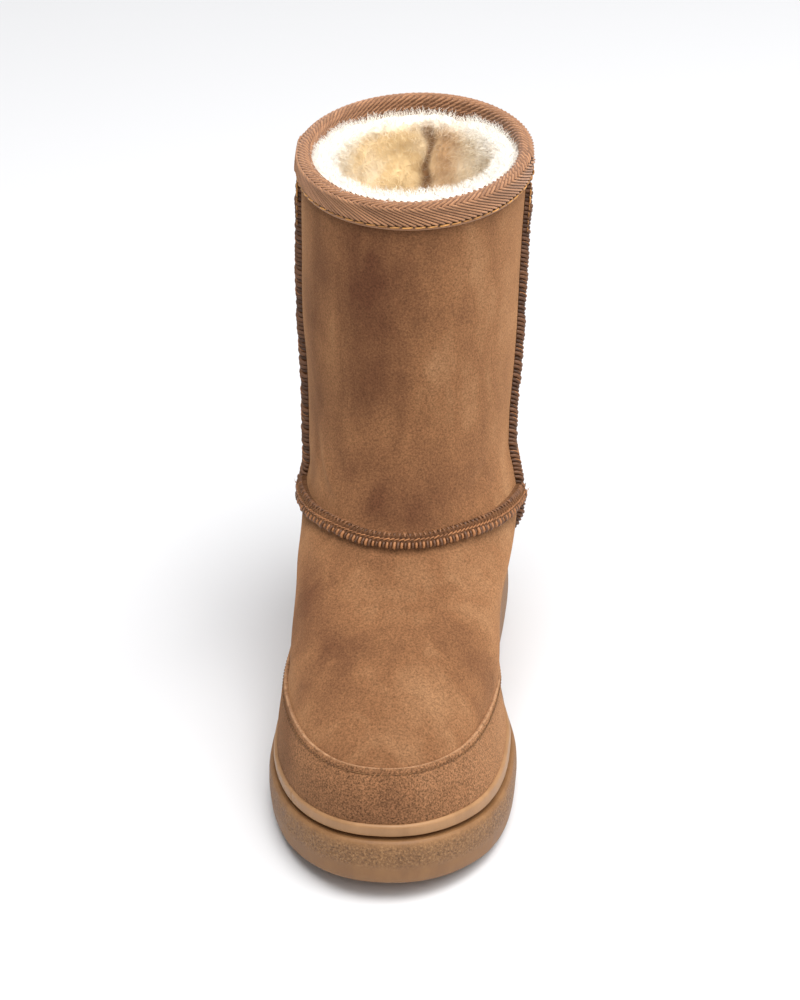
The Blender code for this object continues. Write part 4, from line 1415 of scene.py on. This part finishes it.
@dataclass
class Outsole(Part):
    """Moulded rubber cup sole: platform, slot, lip, rounded wall and tread."""

    columns: int = 420
    slot: float = 1.6 * MM
    platform_edge: float = 0.6 * MM
    tread_depth: float = 3.0 * MM
    tread_width: float = 4.0 * MM
    tread_pitch: float = 13.5 * MM
    tread_border: float = 9.0 * MM
    tread_drop: float = 4.0 * MM

    def _wall(self) -> list[tuple[float, float]]:
        """Reach and height of the wall from lip to tread, on a smooth curve."""
        steps = np.linspace(0, len(SOLE_WALL) - 1, 34)
        nodes = np.arange(len(SOLE_WALL))
        reach_table = [(float(i), row[0]) for i, row in zip(nodes, SOLE_WALL)]
        height_table = [(float(i), row[1]) for i, row in zip(nodes, SOLE_WALL)]
        return list(zip(column(reach_table, 1, steps), column(height_table, 1, steps)))

    def _rings(self) -> tuple[np.ndarray, np.ndarray]:
        """Rings of the sole from the middle of its top to its tread, and the crumb band."""
        form = self.form
        ways = ways_round(self.columns)
        platform = form.feather(ways, self.platform_edge)
        rings = [platform - [0, 0, form.GAP], platform - [0, 0, self.slot]]
        crumbs = [np.zeros(self.columns), np.zeros(self.columns)]
        lip = form.seat(platform[:, 1]) - self.slot
        toe = ease((0.46 - form.along(platform[:, 1])) / 0.30)
        for reach, height in self._wall():
            ring = form.feather(ways, form.SOLE_FLARE * reach)
            low = form.ground(ring[:, 1])
            ring[:, 2] = low + (lip - low) * height
            rings.append(ring)
            band = math.exp(-((height - 0.68) / 0.25) ** 4)
            crumbs.append(band * (0.25 + 0.75 * toe))
        for inset in (2.0 * MM, 4.0 * MM):
            ring = form.feather(ways, -inset)
            ring[:, 2] = form.ground(ring[:, 1])
            rings.append(ring)
            crumbs.append(np.zeros(self.columns))
        return np.array(rings), np.array(crumbs)

    def _tread(self) -> Object:
        """Cutter with one box for each groove of the tread."""
        form = self.form
        shell = bmesh.new()
        half = len(form.ways) // 2
        feather = form.points[0]
        for i in range(1, int(form.length / self.tread_pitch)):
            t = i * self.tread_pitch / form.length
            if 0.50 < t < 0.70 or t < 0.08 or t > 0.93:
                continue
            y = form.toe_y + t * form.length
            left = np.interp(y, feather[half::-1, 1], feather[half::-1, 0]) + self.tread_border
            right = np.interp(y, feather[half:, 1], feather[half:, 0]) - self.tread_border
            top = float(form.ground(y)) + self.tread_depth
            low = -self.tread_drop
            centre = ((left + right) / 2, y, (top + low) / 2)
            half_size = ((right - left) / 2, self.tread_width / 2, (top - low) / 2)
            made = bmesh.ops.create_cube(shell, size=2)
            for vertex in made["verts"]:
                for k in range(3):
                    vertex.co[k] = centre[k] + vertex.co[k] * half_size[k]
        mesh = bpy.data.meshes.new("tread_cutter")
        bmesh.ops.recalc_face_normals(shell, faces=shell.faces)
        shell.to_mesh(mesh)
        shell.free()
        return linked("tread_cutter", mesh)

    def build(self) -> Object:
        """Makes and dresses the outsole."""
        rings, crumbs = self._rings()
        rings, crumbs = rings[::-1], crumbs[::-1]
        faces = bowl_faces(len(rings), self.columns)
        body = piece("outsole_body", rings, faces, {"crumb": crumbs})
        cutter = self._tread()
        cut = body.modifiers.new("tread", "BOOLEAN")
        cut.object = cutter
        cut.operation = "DIFFERENCE"
        cut.solver = "EXACT"
        thing = applied(body, "moulded_outsole", self.finishes.sole, Slot.SOLE, "outsole")
        thing.data.set_sharp_from_angle(angle=math.radians(40))
        bpy.data.objects.remove(cutter, do_unlink=True)
        return thing


@dataclass
class Rand(Part):
    """Smooth rubber strip round the foot of the upper, joined at the toe's left."""

    height: float = 6.6 * MM
    thickness: float = 3.2 * MM
    columns: int = 460
    joint_way: float = -0.155
    joint_depth: float = 0.7 * MM

    def build(self) -> Object:
        """Makes and dresses the strip."""
        form = self.form
        ways = ways_round(self.columns)
        near = self.joint_way + np.linspace(-0.008, 0.008, 17)
        ways = np.unique(np.concatenate([ways, near]))
        face = form.GAP + self.thickness
        joint = self.joint_depth * np.exp(-((ways - self.joint_way) / 0.0014) ** 2)
        low = 0.4 * MM
        round_in = 1.1 * MM
        profile: list[tuple[float, float]] = [(low, -0.6 * MM), (low, face - round_in)]
        for a in np.linspace(0, math.pi / 2, 6)[1:]:
            profile.append((low + round_in * (1 - math.cos(a)) * 0.9,
                            face - round_in * (1 - math.sin(a))))
        profile.append((self.height * 0.5, face + 0.15 * MM))
        for a in np.linspace(0, math.pi / 2, 6):
            profile.append((self.height - round_in * 1.3 * (1 - math.sin(a)),
                            face - round_in * 1.3 * (1 - math.cos(a))))
        profile.append((self.height, -0.6 * MM))
        rings = [form.at(form.foot_level(rise), ways, out - joint * (out > 0))
                 for rise, out in profile]
        faces = loft(len(rings), len(ways), True, True)
        thing = piece("rubber_rand", np.array(rings), faces)
        return finish_piece(thing, self.finishes.rand, Slot.RAND, "rand")


@dataclass
class Binding(Part):
    """Herringbone tape folded over the collar and sewn through."""

    thickness: float = 1.4 * MM
    outer_leg: float = 10.0 * MM
    inner_leg: float = 9.0 * MM
    rib: float = 3.1 * MM
    slant: float = 2.3
    selvedge: float = 2.3 * MM
    fold_step: float = 2.1 * MM
    stitch: float = 5.5 * MM
    columns: int = 600
    seam_bulge: float = 0.9 * MM
    bulge_width: float = 4.0 * MM
    # Run of the fold as a share of a half circle's, and its height as a share of its radius
    fold_run: float = 0.62
    fold_height: float = 0.55

    def _bulge(self, ways: np.ndarray) -> np.ndarray:
        """How far the side seams under the tape push it out."""
        total = np.zeros_like(ways)
        for side in Side:
            way = self.form.seam_way(2.0, side)
            place = self.form.at(2.0, way)
            gap = np.linalg.norm(self.form.at(2.0, ways) - place, axis=-1)
            total += self.seam_bulge * np.exp(-(gap / self.bulge_width) ** 2)
        return total

    def _surface(self, s: np.ndarray, ways: np.ndarray, lift: float = 0.0,
                 pushed: float = 1.0) -> np.ndarray:
        """Point of the tape's outer face.

        Args:
            s: Distance from the outer leg's lower edge, up and over the collar.
            ways: Ways round.
            lift: Distance off the tape's face.
            pushed: Share of the side seams' bulges.

        Returns:
            Places.
        """
        form = self.form
        out = form.GAP + self.thickness
        back = -form.WALL - form.GAP - self.thickness
        radius = (out - back) / 2
        middle = (out + back) / 2
        straight = self.outer_leg
        arc = math.pi * radius * self.fold_run
        s, ways = np.broadcast_arrays(np.asarray(s, float), np.asarray(ways, float))
        bulge = pushed * self._bulge(ways) * np.clip(1 - (s - straight) / arc, 0, 1)
        drop = np.where(s < straight, straight - s,
                        np.where(s > straight + arc, s - straight - arc, 0.0))
        turn = np.clip((s - straight) / arc, 0, 1) * math.pi
        reach = middle + (radius + lift) * np.cos(turn) + bulge
        rise = (radius * self.fold_height + lift) * np.sin(turn)
        place = form.at(form.collar_level(drop), ways, reach)
        return place + np.stack([0 * rise, 0 * rise, rise], -1)

    def build(self) -> Object:
        """Makes and dresses the tape, its ribs and its stitches."""
        form = self.form
        ways = ways_round(self.columns)
        radius = (form.WALL + 2 * form.GAP + 2 * self.thickness) / 2
        arc = math.pi * radius * self.fold_run
        end = self.outer_leg + arc + self.inner_leg
        s = np.concatenate([np.linspace(0, self.outer_leg, 14),
                            np.linspace(self.outer_leg, self.outer_leg + arc, 14)[1:],
                            np.linspace(self.outer_leg + arc, end, 8)[1:]])
        outer = self._surface(s[:, None], ways[None])
        edge_low = form.at(form.collar_level(self.outer_leg), ways, -0.3 * MM)
        back = form.at(form.collar_level(self.inner_leg), ways, -form.WALL + 0.3 * MM)
        inside = form.at(2.0, ways, -form.WALL / 2)
        rings = np.concatenate([outer, back[None], inside[None], edge_low[None]])
        faces = loft(len(rings), self.columns, True, True)
        # Painted shade: the tape's face between the ribs gets a dark tone for the shade in the
        # gaps; the strip by the lower edge is paler.
        tone = np.full(rings.shape[:2], 0.05)
        tone[:len(s)][s <= self.selvedge - 1.0 * MM] = 0.65
        thing = piece("collar_tape", rings, faces, {"tone": tone})
        finish_piece(thing, self.finishes.tape, Slot.TAPE, "collar_binding")
        self._weave(arc)
        self._stitch()
        return thing

    def _ring_path(self, s: float, lift: float, count: int = 1200) -> SeamPath:
        """A closed run round the tape at a distance up its face."""
        ways = np.linspace(-1, 1, count + 1)
        points = self._surface(s, ways, lift)
        plain = self._surface(s, ways, lift, 0.0)
        higher = self._surface(s + 0.3 * MM, ways, lift, 0.0)
        ahead = np.concatenate([plain[1:], plain[1:2]])
        along = unit(ahead - plain)
        up = unit(higher - plain)
        out = unit(np.cross(along, up))
        return SeamPath(points, along, out, np.cross(along, out))

    def _weave(self, arc: float) -> None:
        """Lays the slanted ribs: long ones down the face, short ones over the fold."""
        tall = self.outer_leg - self.selvedge + 0.4 * MM
        face = StitchRow("collar_tape_ribs_face", self.rib, (-tall * self.slant, tall, 0),
                         0.95 * MM, 0.54 * MM, steps=9, sides=6, wobble=0.0,
                         tones=(0.42, 0.85), seed=11)
        middle = self.selvedge + tall / 2
        face.sew([self._ring_path(middle, -0.22 * MM)], self.finishes.tape, Slot.TAPE)
        first = self.outer_leg + 1.2 * MM
        last = self.outer_leg + arc + 0.6 * self.inner_leg
        for number, s in enumerate(np.arange(first, last, self.fold_step)):
            row = StitchRow(f"collar_tape_ribs_{number + 1}", self.rib,
                            (self.fold_step * self.slant, 1.15 * self.fold_step, 0),
                            0.12 * MM, 0.50 * MM, steps=3, sides=6, wobble=0.0,
                            tones=(0.42, 0.85), seed=12 + number)
            row.sew([self._ring_path(float(s), -0.24 * MM)], self.finishes.tape, Slot.TAPE)

    def _stitch(self) -> None:
        """Sews the tape down above its lower edge, with a thin line of painted shade where the
        needle went in.
        """
        # Painted shade: a thin dark thread line along the stitches stands for the shade in the
        # needle holes.
        hole_shade = StitchRow("collar_needle_hole_shade", self.stitch, (self.stitch, 0.2 * MM, 0),
                          0.10 * MM, 0.36 * MM, tones=(-0.5, -0.3))
        hole_shade.sew([self._ring_path(self.selvedge - 0.9 * MM, 0.02 * MM)],
                  self.finishes.stitch, Slot.EDGE)
        row = StitchRow("collar_stitches", self.stitch, (0.72 * self.stitch, 0.3 * MM, 0),
                        0.55 * MM, 0.40 * MM, wobble=0.05, tones=(0.2, 1.0))
        row.sew([self._ring_path(self.selvedge - 0.9 * MM, 0.30 * MM)],
                self.finishes.gold_thread_and_glint, Slot.EDGE)


@dataclass
class Fleece(Part):
    """The wool side of the sheepskin, a deep pile with a tufted rim."""

    depth: float = 9.0 * MM
    below_collar: float = 2.6 * MM
    back_drop: float = 4.1 * MM
    rim_round: float = 5.0 * MM
    columns: int = 400
    wall_rows: int = 130
    parting_depth: float = 3.0 * MM
    parting_width: float = 2.2 * MM
    wisp_length: float = 3.2 * MM
    wisp_root: float = 0.11 * MM
    wisp_tilt: float = 0.62
    seed: int = 5

    def _base(self, ways: np.ndarray) -> np.ndarray:
        """The pile's smooth surface, over the rim and down inside."""
        form = self.form
        outer = -form.WALL - form.GAP - Binding.thickness
        inner = -form.WALL - 1.2 * MM - self.depth
        top = self.below_collar - self.back_drop * np.cos(math.pi * ways)
        turn = np.linspace(0, math.pi, 26)
        over = (outer + inner) / 2 + (outer - inner) / 2 * np.cos(turn)
        reach = np.concatenate([over, np.full(self.wall_rows - 1, inner)])
        rim = top[None] + self.rim_round * (1 - np.abs(np.sin(turn)) ** 0.8)[:, None]
        low = (form.collar_height - form.INSTEP_HEIGHT) * 1.88
        down = (np.linspace(0, 1, self.wall_rows)[1:] ** 1.35)[:, None]
        wall = top[None] + self.rim_round + (low - top[None]) * down
        drop = np.concatenate([rim, wall])
        level = form.collar_level(np.maximum(drop, 0))
        base = form.at(level, np.broadcast_to(ways, drop.shape), reach[:, None])
        base[..., 2] += np.maximum(-drop, 0)
        return base

    def _clumps(self, places: np.ndarray) -> np.ndarray:
        """Height of the locks at each place: broad tufts, curls and single fibres."""
        heights = []
        for p in places.reshape(-1, 3):
            v = Vector(p)
            tuft = noise.noise(v * 83.0)
            curl = noise.noise(v * 200.0)
            fine = noise.noise(v * 640.0)
            heights.append(1.6 * tuft + 0.9 * (0.35 - abs(curl)) * 1.6 + 0.35 * fine)
        return np.array(heights).reshape(places.shape[:-1]) * MM

    def _parting(self, base: np.ndarray, ways: np.ndarray) -> np.ndarray:
        """How deep the wool parts where the lining's halves meet at the back."""
        fall = (base[:, :1, 2].max() - base[..., 2]) / (60 * MM)
        drift = np.array([[noise.noise(Vector((0.0, k, row * 55.0))) for k in (1.0, 9.0, 17.0)]
                          for row in base[:, 0, 2]])
        middle = 0.970 + 0.040 * np.clip(fall, 0, 1) + 0.050 * drift[:, :1]
        at = np.mod(ways, 2.0)[None]
        arc = np.linalg.norm(np.roll(base, -1, 1) - base, axis=-1)
        away = (at - middle) / (2.0 / self.columns) * arc
        wide = self.parting_width * (1 + 0.9 * drift[:, 1:2])
        strong = np.clip(0.75 + 0.9 * drift[:, 2:], 0.25, 1.2)
        return strong * np.exp(-(away / wide) ** 2) * ease(fall * 60 / 8.0)

    def build(self) -> Object:
        """Makes and dresses the pile and its wisps."""
        form = self.form
        ways = ways_round(self.columns)
        base = self._base(ways)
        lean = unit(np.gradient(base, axis=0))
        across = unit(np.roll(base, -1, 1) - base)
        facing = unit(np.cross(lean, across))
        deep = base.shape[0] // 2
        middle = base[deep].mean(axis=0)
        sign = np.sign((facing[deep] * (middle - base[deep])).sum(-1).mean())
        parting = self._parting(base, ways)
        lift = self._clumps(base) - self.parting_depth * parting
        pile = base + sign * facing * lift[..., None]
        back_levels = np.linspace(0.12, float(form.collar_level(12 * MM)), 14)
        back = form.at(back_levels[:, None], ways[None], -form.WALL - 0.5 * MM)
        rings = np.concatenate([pile, back])
        gold, taupe = self._tints(rings, ways)
        # Painted shade: the parting's groove is tinted taupe and darkened towards a brown.
        taupe[:len(pile)] = np.maximum(taupe[:len(pile)], 1.3 * parting)
        root = np.zeros_like(taupe)
        root[:len(pile)] = 0.85 * np.clip(parting, 0, 1) ** 0.6
        faces = loft(len(rings), self.columns, True, True)
        thing = piece("fleece_pile", rings, faces, {"gold": gold, "taupe": taupe, "parting": root})
        finish_piece(thing, self.finishes.wool, Slot.WOOL, "fleece_lining")
        self._wisps(thing, pile)
        return thing

    def _tints(self, rings: np.ndarray, ways: np.ndarray) -> tuple[np.ndarray, np.ndarray]:
        """Shares of gold and taupe in the wool."""
        z = rings[..., 2]
        rim = self.form.collar_height - self.below_collar
        deep = ease((rim - 2 * MM - z) / (11 * MM))
        at = np.broadcast_to(np.mod(ways, 2.0), z.shape)
        gold = 0.85 * np.exp(-((at - 1.10) / 0.17) ** 2) + 0.42
        taupe = 0.7 * np.exp(-((at - 0.92) / 0.07) ** 2)
        wobble = np.array([noise.noise(Vector(p) * 60.0) for p in rings.reshape(-1, 3)])
        wobble = 1 + 0.6 * wobble.reshape(z.shape)
        return gold * deep * wobble, taupe * deep * wobble

    def _wisps(self, thing: Object, pile: np.ndarray) -> None:
        """Scatters short wisps of wool over the rim and down the upper pile."""
        tree = WispTree().make()
        drop = self.form.collar_height - pile[..., 2]
        rows = np.broadcast_to(np.arange(len(pile))[:, None], drop.shape)
        rim = np.exp(-(drop / (13 * MM)) ** 2) * (rows > 3)
        wall = np.exp(-((drop - 30 * MM) / (28 * MM)) ** 2) * (rows > 24)
        self._scatter(thing, tree, "fleece_wisps_rim", rim, 1.9e6, 1.0, 0)
        self._scatter(thing, tree, "fleece_wisps_wall", wall, 0.52e6, 0.95, 1)

    def _scatter(self, thing: Object, tree: NodeTree, name: str,
                 share: np.ndarray, density: float, size: float, step: int) -> None:
        """Makes one piece of wisps.

        Args:
            thing: The pile that they grow from.
            tree: The wisps' Geometry Nodes tree.
            name: Name of the new piece.
            share: Share of the density at each of the pile's vertices.
            density: Wisps to the square metre.
            size: Length as a share of the usual one.
            step: Added to the seed.
        """
        amount = np.zeros(len(thing.data.vertices))
        amount[:share.size] = share.ravel()
        mesh = thing.data.copy()
        hold(mesh, "density", amount)
        guide = linked("wisps_guide", mesh)
        spread = guide.modifiers.new("wisps", "NODES")
        spread.node_group = tree
        set_inputs(spread, tree, {
            "Density": density, "Length": self.wisp_length * size, "Root": self.wisp_root,
            "Tilt": self.wisp_tilt, "Seed": self.seed + step, "Material": self.finishes.wool})
        applied(guide, name, self.finishes.wool, Slot.WOOL)


class WispTree:
    """Geometry Nodes tree that scatters tapered wisps over a surface."""

    def make(self) -> NodeTree:
        """The node tree."""
        tree = new_group("wool_wisps", (
            ("Density", "Float"), ("Length", "Float"), ("Root", "Float"), ("Tilt", "Float"),
            ("Seed", "Int")))
        given = add_node(tree, "NodeGroupInput").outputs
        share = add_node(tree, "GeometryNodeInputNamedAttribute", {
            "Name": "density"}, data_type="FLOAT")
        amount = add_node(tree, "ShaderNodeMath", {
            0: share, 1: given["Density"]}, operation="MULTIPLY")
        spread = add_node(tree, "GeometryNodeDistributePointsOnFaces", {
            "Mesh": given["Geometry"], "Density": amount, "Seed": given["Seed"]})
        upright = add_node(tree, "ShaderNodeCombineXYZ", {"Z": given["Length"]})
        bend = add_node(tree, "ShaderNodeVectorMath", {
            0: upright, 1: (0.35, 0.0, 0.75)}, operation="MULTIPLY")
        side = add_node(tree, "ShaderNodeMath", {
            0: given["Length"], 1: 0.45}, operation="MULTIPLY")
        tip = add_node(tree, "ShaderNodeCombineXYZ", {"X": side, "Z": given["Length"]})
        strand = add_node(tree, "GeometryNodeCurvePrimitiveBezierSegment", {
            "Resolution": 2, "Start": (0.0, 0.0, 0.0), "Start Handle": bend, "End Handle": bend,
            "End": tip}, mode="POSITION")
        run = add_node(tree, "GeometryNodeSplineParameter")
        thin = add_node(tree, "ShaderNodeMapRange", {
            "Value": run.outputs["Factor"], "To Min": 1.0, "To Max": 0.25})
        ring = add_node(tree, "GeometryNodeCurvePrimitiveCircle", {
            "Resolution": 3, "Radius": given["Root"]}, mode="RADIUS")
        tube = add_node(tree, "GeometryNodeCurveToMesh", {
            "Curve": strand, "Profile Curve": ring, "Scale": thin, "Fill Caps": True})
        tilt = add_node(tree, "ShaderNodeMath", {0: given["Tilt"], 1: -1.0}, operation="MULTIPLY")
        high = add_node(tree, "ShaderNodeCombineXYZ", {
            "X": given["Tilt"], "Y": given["Tilt"], "Z": FULL_TURN})
        low = add_node(tree, "ShaderNodeCombineXYZ", {"X": tilt, "Y": tilt})
        lean = add_node(tree, "FunctionNodeRandomValue", {
            0: low, 1: high, "Seed": given["Seed"]}, data_type="FLOAT_VECTOR")
        lean_turn = add_node(tree, "FunctionNodeEulerToRotation", {0: lean})
        turned = add_node(tree, "FunctionNodeRotateRotation", {
            0: spread.outputs["Rotation"], 1: lean_turn}, rotation_space="LOCAL")
        size = add_node(tree, "FunctionNodeRandomValue", {
            2: 0.55, 3: 1.35, "Seed": given["Seed"]}, data_type="FLOAT")
        each = add_node(tree, "GeometryNodeInstanceOnPoints", {
            "Points": spread.outputs["Points"], "Instance": tube, "Rotation": turned,
            "Scale": size})
        end_group(tree, each, given["Material"])
        return tree


@dataclass
class Insole(Part):
    """Wool-topped footbed, slightly dished."""

    thickness: float = 6.0 * MM
    columns: int = 240

    def build(self) -> Object:
        """Makes and dresses the footbed."""
        form = self.form
        ways = ways_round(self.columns)
        edge = -form.WALL - 2 * form.GAP
        rows = [(edge, 0.2 * MM), (edge, self.thickness - 1.2 * MM)]
        rows += [(edge - i * 0.6 * MM, self.thickness - 1.2 * MM + 1.2 * MM * math.sin(i * 0.5))
                 for i in range(1, 4)]
        rows += [(edge - i * 2 * MM, self.thickness - 0.15 * i * MM) for i in range(2, 13)]
        rings = []
        for reach, rise in rows:
            ring = form.feather(ways, reach)
            ring[:, 2] += rise
            rings.append(ring)
        rings = np.array(rings)
        lumps = np.array([noise.noise(Vector(p) * 160.0) for p in rings[3:].reshape(-1, 3)])
        rings[3:, :, 2] += 0.8 * MM * lumps.reshape(rings[3:].shape[:2])
        faces = bowl_faces(len(rings), self.columns)
        thing = piece("wool_insole", rings, faces, {"gold": np.full(rings.shape[:2], 0.3)})
        return finish_piece(thing, self.finishes.wool, Slot.WOOL, "insole")


@dataclass
class Boot(Part):
    """The whole boot, piece by piece."""

    def _seam_top(self) -> float:
        """Level just under the tape, where the upright seams start."""
        return float(self.form.collar_level(Binding.outer_leg + 2 * self.form.GAP))

    def _side_path(self, side: Side) -> SeamPath:
        """Line of a side seam from the tape down to the rand."""
        form = self.form
        low = form.foot_level(Rand.height + 2 * form.GAP)
        levels = np.linspace(self._seam_top(), low, 90)
        ways = np.array([form.seam_way(float(level), side) for level in levels])
        return SeamPath.on(form, levels, ways, 0.2 * MM, 560)

    def _ankle_path(self) -> SeamPath:
        """Line of the ankle seam, whose ends pass over the two side seams."""
        share = np.linspace(-1.0, 1.0, 121)
        levels = column(ANKLE_SEAM, 1, np.abs(share))
        ways = []
        for part, level in zip(share, levels):
            side = Side.MEDIAL if part > 0 else Side.LATERAL
            ways.append(abs(part) * self.form.seam_way(float(level), side))
        path = SeamPath.on(self.form, levels, np.array(ways), 0.2 * MM, 480)
        run = np.linspace(0, path.length, len(path.points))
        near_end = 1 - ease(np.minimum(run, run[-1] - run) / (7 * MM))
        return path.moved(1.7 * MM * near_end)

    def _back_path(self) -> SeamPath:
        """Line of the back seam from the tape to the counter."""
        form = self.form
        low = COUNTER_TOP[0][1] + 2 * form.foot_level(form.GAP)
        levels = np.linspace(self._seam_top(), low, 60)
        return SeamPath.on(form, levels, np.ones(60), 0.2 * MM, 420)

    def build(self) -> None:
        """Builds every piece in order."""
        form, finishes = self.form, self.finishes
        Upper(form, finishes).build()
        Overlay(form, finishes, "toe_overlay", "toe_guard", GUARD_TOP, 0.0,
                (0.08, 0.2, 0.3, 0.44)).build()
        Overlay(form, finishes, "heel_overlay", "heel_counter", COUNTER_TOP, 1.0,
                (0.08, 0.2, 0.3, 0.4)).build()
        AnkleRoll(form, finishes, "ankle_roll", "ankle_seam", self._ankle_path()).build()
        WhippedSeam(form, finishes, "side_roll_outer", "side_seam_outer",
                    self._side_path(Side.LATERAL), tuck=12 * MM,
                    glint_side=-2.6 * MM).build()
        WhippedSeam(form, finishes, "side_roll_inner", "side_seam_inner",
                    self._side_path(Side.MEDIAL), tuck=12 * MM,
                    glint_side=2.6 * MM).build()
        WhippedSeam(form, finishes, "back_roll", "back_seam", self._back_path(),
                    tuck=12 * MM).build()
        Outsole(form, finishes).build()
        Rand(form, finishes).build()
        Binding(form, finishes).build()
        Fleece(form, finishes).build()
        Insole(form, finishes).build()


@dataclass
class Studio:
    """Pale paper sweep, soft light and the camera.

    The camera stands where the photographer's did, which aimed between the two
    boots of the pair, and is then panned and tilted to this boot.
    """

    camera_place: tuple[float, float, float] = (0.1204, -1.2037, 0.8287)
    look_at: tuple[float, float, float] = (0.0636, 0.0, 0.1160)
    roll: float = math.radians(0.9)
    pan: float = math.radians(2.68)
    tilt: float = math.radians(0.30)
    lens: float = 109.5
    paper: float = 6.0

    def build(self) -> None:
        """Makes the floor, the lights and the camera."""
        self._floor()
        self._light("key", (1.2, -0.1, 1.9), (0.0, 0.0, 0.12), 2.0, 31.0)
        self._light("front", (0.75, -1.6, 1.75), (0.0, 0.0, 0.14), 1.2, 11.0)
        self._light("top", (0.05, -0.56, 2.2), (0.0, 0.0, 0.15), 1.5, 43.0)
        world = bpy.data.worlds.new("studio")
        world.use_nodes = True
        back = world.node_tree.nodes["Background"]
        back.inputs["Color"].default_value = srgb("#F7F8FA")
        back.inputs["Strength"].default_value = 0.44
        bpy.context.scene.world = world
        bpy.context.scene.view_settings.view_transform = "Standard"
        self._camera()

    def _floor(self) -> None:
        """Lays the paper."""
        s = self.paper / 2
        mesh = bpy.data.meshes.new("studio_floor")
        mesh.from_pydata([(-s, -s, 0), (s, -s, 0), (s, s, 0), (-s, s, 0)], [], [(0, 1, 2, 3)])
        floor = linked("studio_floor", mesh)
        mesh.materials.append(Sweep().make())

    def _light(self, name: str, place: Sequence[float], target: Sequence[float],
               size: float, power: float) -> None:
        """Adds a soft box that points at a target."""
        data = bpy.data.lights.new(name, "AREA")
        data.shape = "DISK"
        data.size = size
        data.energy = power
        thing = linked(name, data)
        thing.location = place
        aim = Vector(target) - Vector(place)
        thing.rotation_euler = aim.to_track_quat("-Z", "Y").to_euler()

    def _camera(self) -> None:
        """Sets the camera."""
        data = bpy.data.cameras.new("camera")
        data.sensor_width = 36.0
        data.lens = self.lens
        data.clip_end = 20.0
        thing = linked("camera", data)
        thing.location = self.camera_place
        aim = Vector(self.look_at) - Vector(self.camera_place)
        straight = aim.to_track_quat("-Z", "Y")
        turned = (straight @ Quaternion((0, 0, 1), self.roll)
                  @ Quaternion((0, 1, 0), self.pan) @ Quaternion((1, 0, 0), self.tilt))
        thing.rotation_mode = "QUATERNION"
        thing.rotation_quaternion = turned
        bpy.context.scene.camera = thing


def clear_scene() -> None:
    """Removes whatever the scene starts with."""
    for thing in list(bpy.data.objects):
        bpy.data.objects.remove(thing, do_unlink=True)


def main() -> None:
    """Loads the frame, dresses the boot and sets the studio."""
    logging.basicConfig(level=logging.INFO, format="%(name)s: %(message)s")
    clear_scene()
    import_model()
    form = BootForm()
    Boot(form, Finishes()).build()
    Studio().build()


if __name__ == "__main__":
    main()
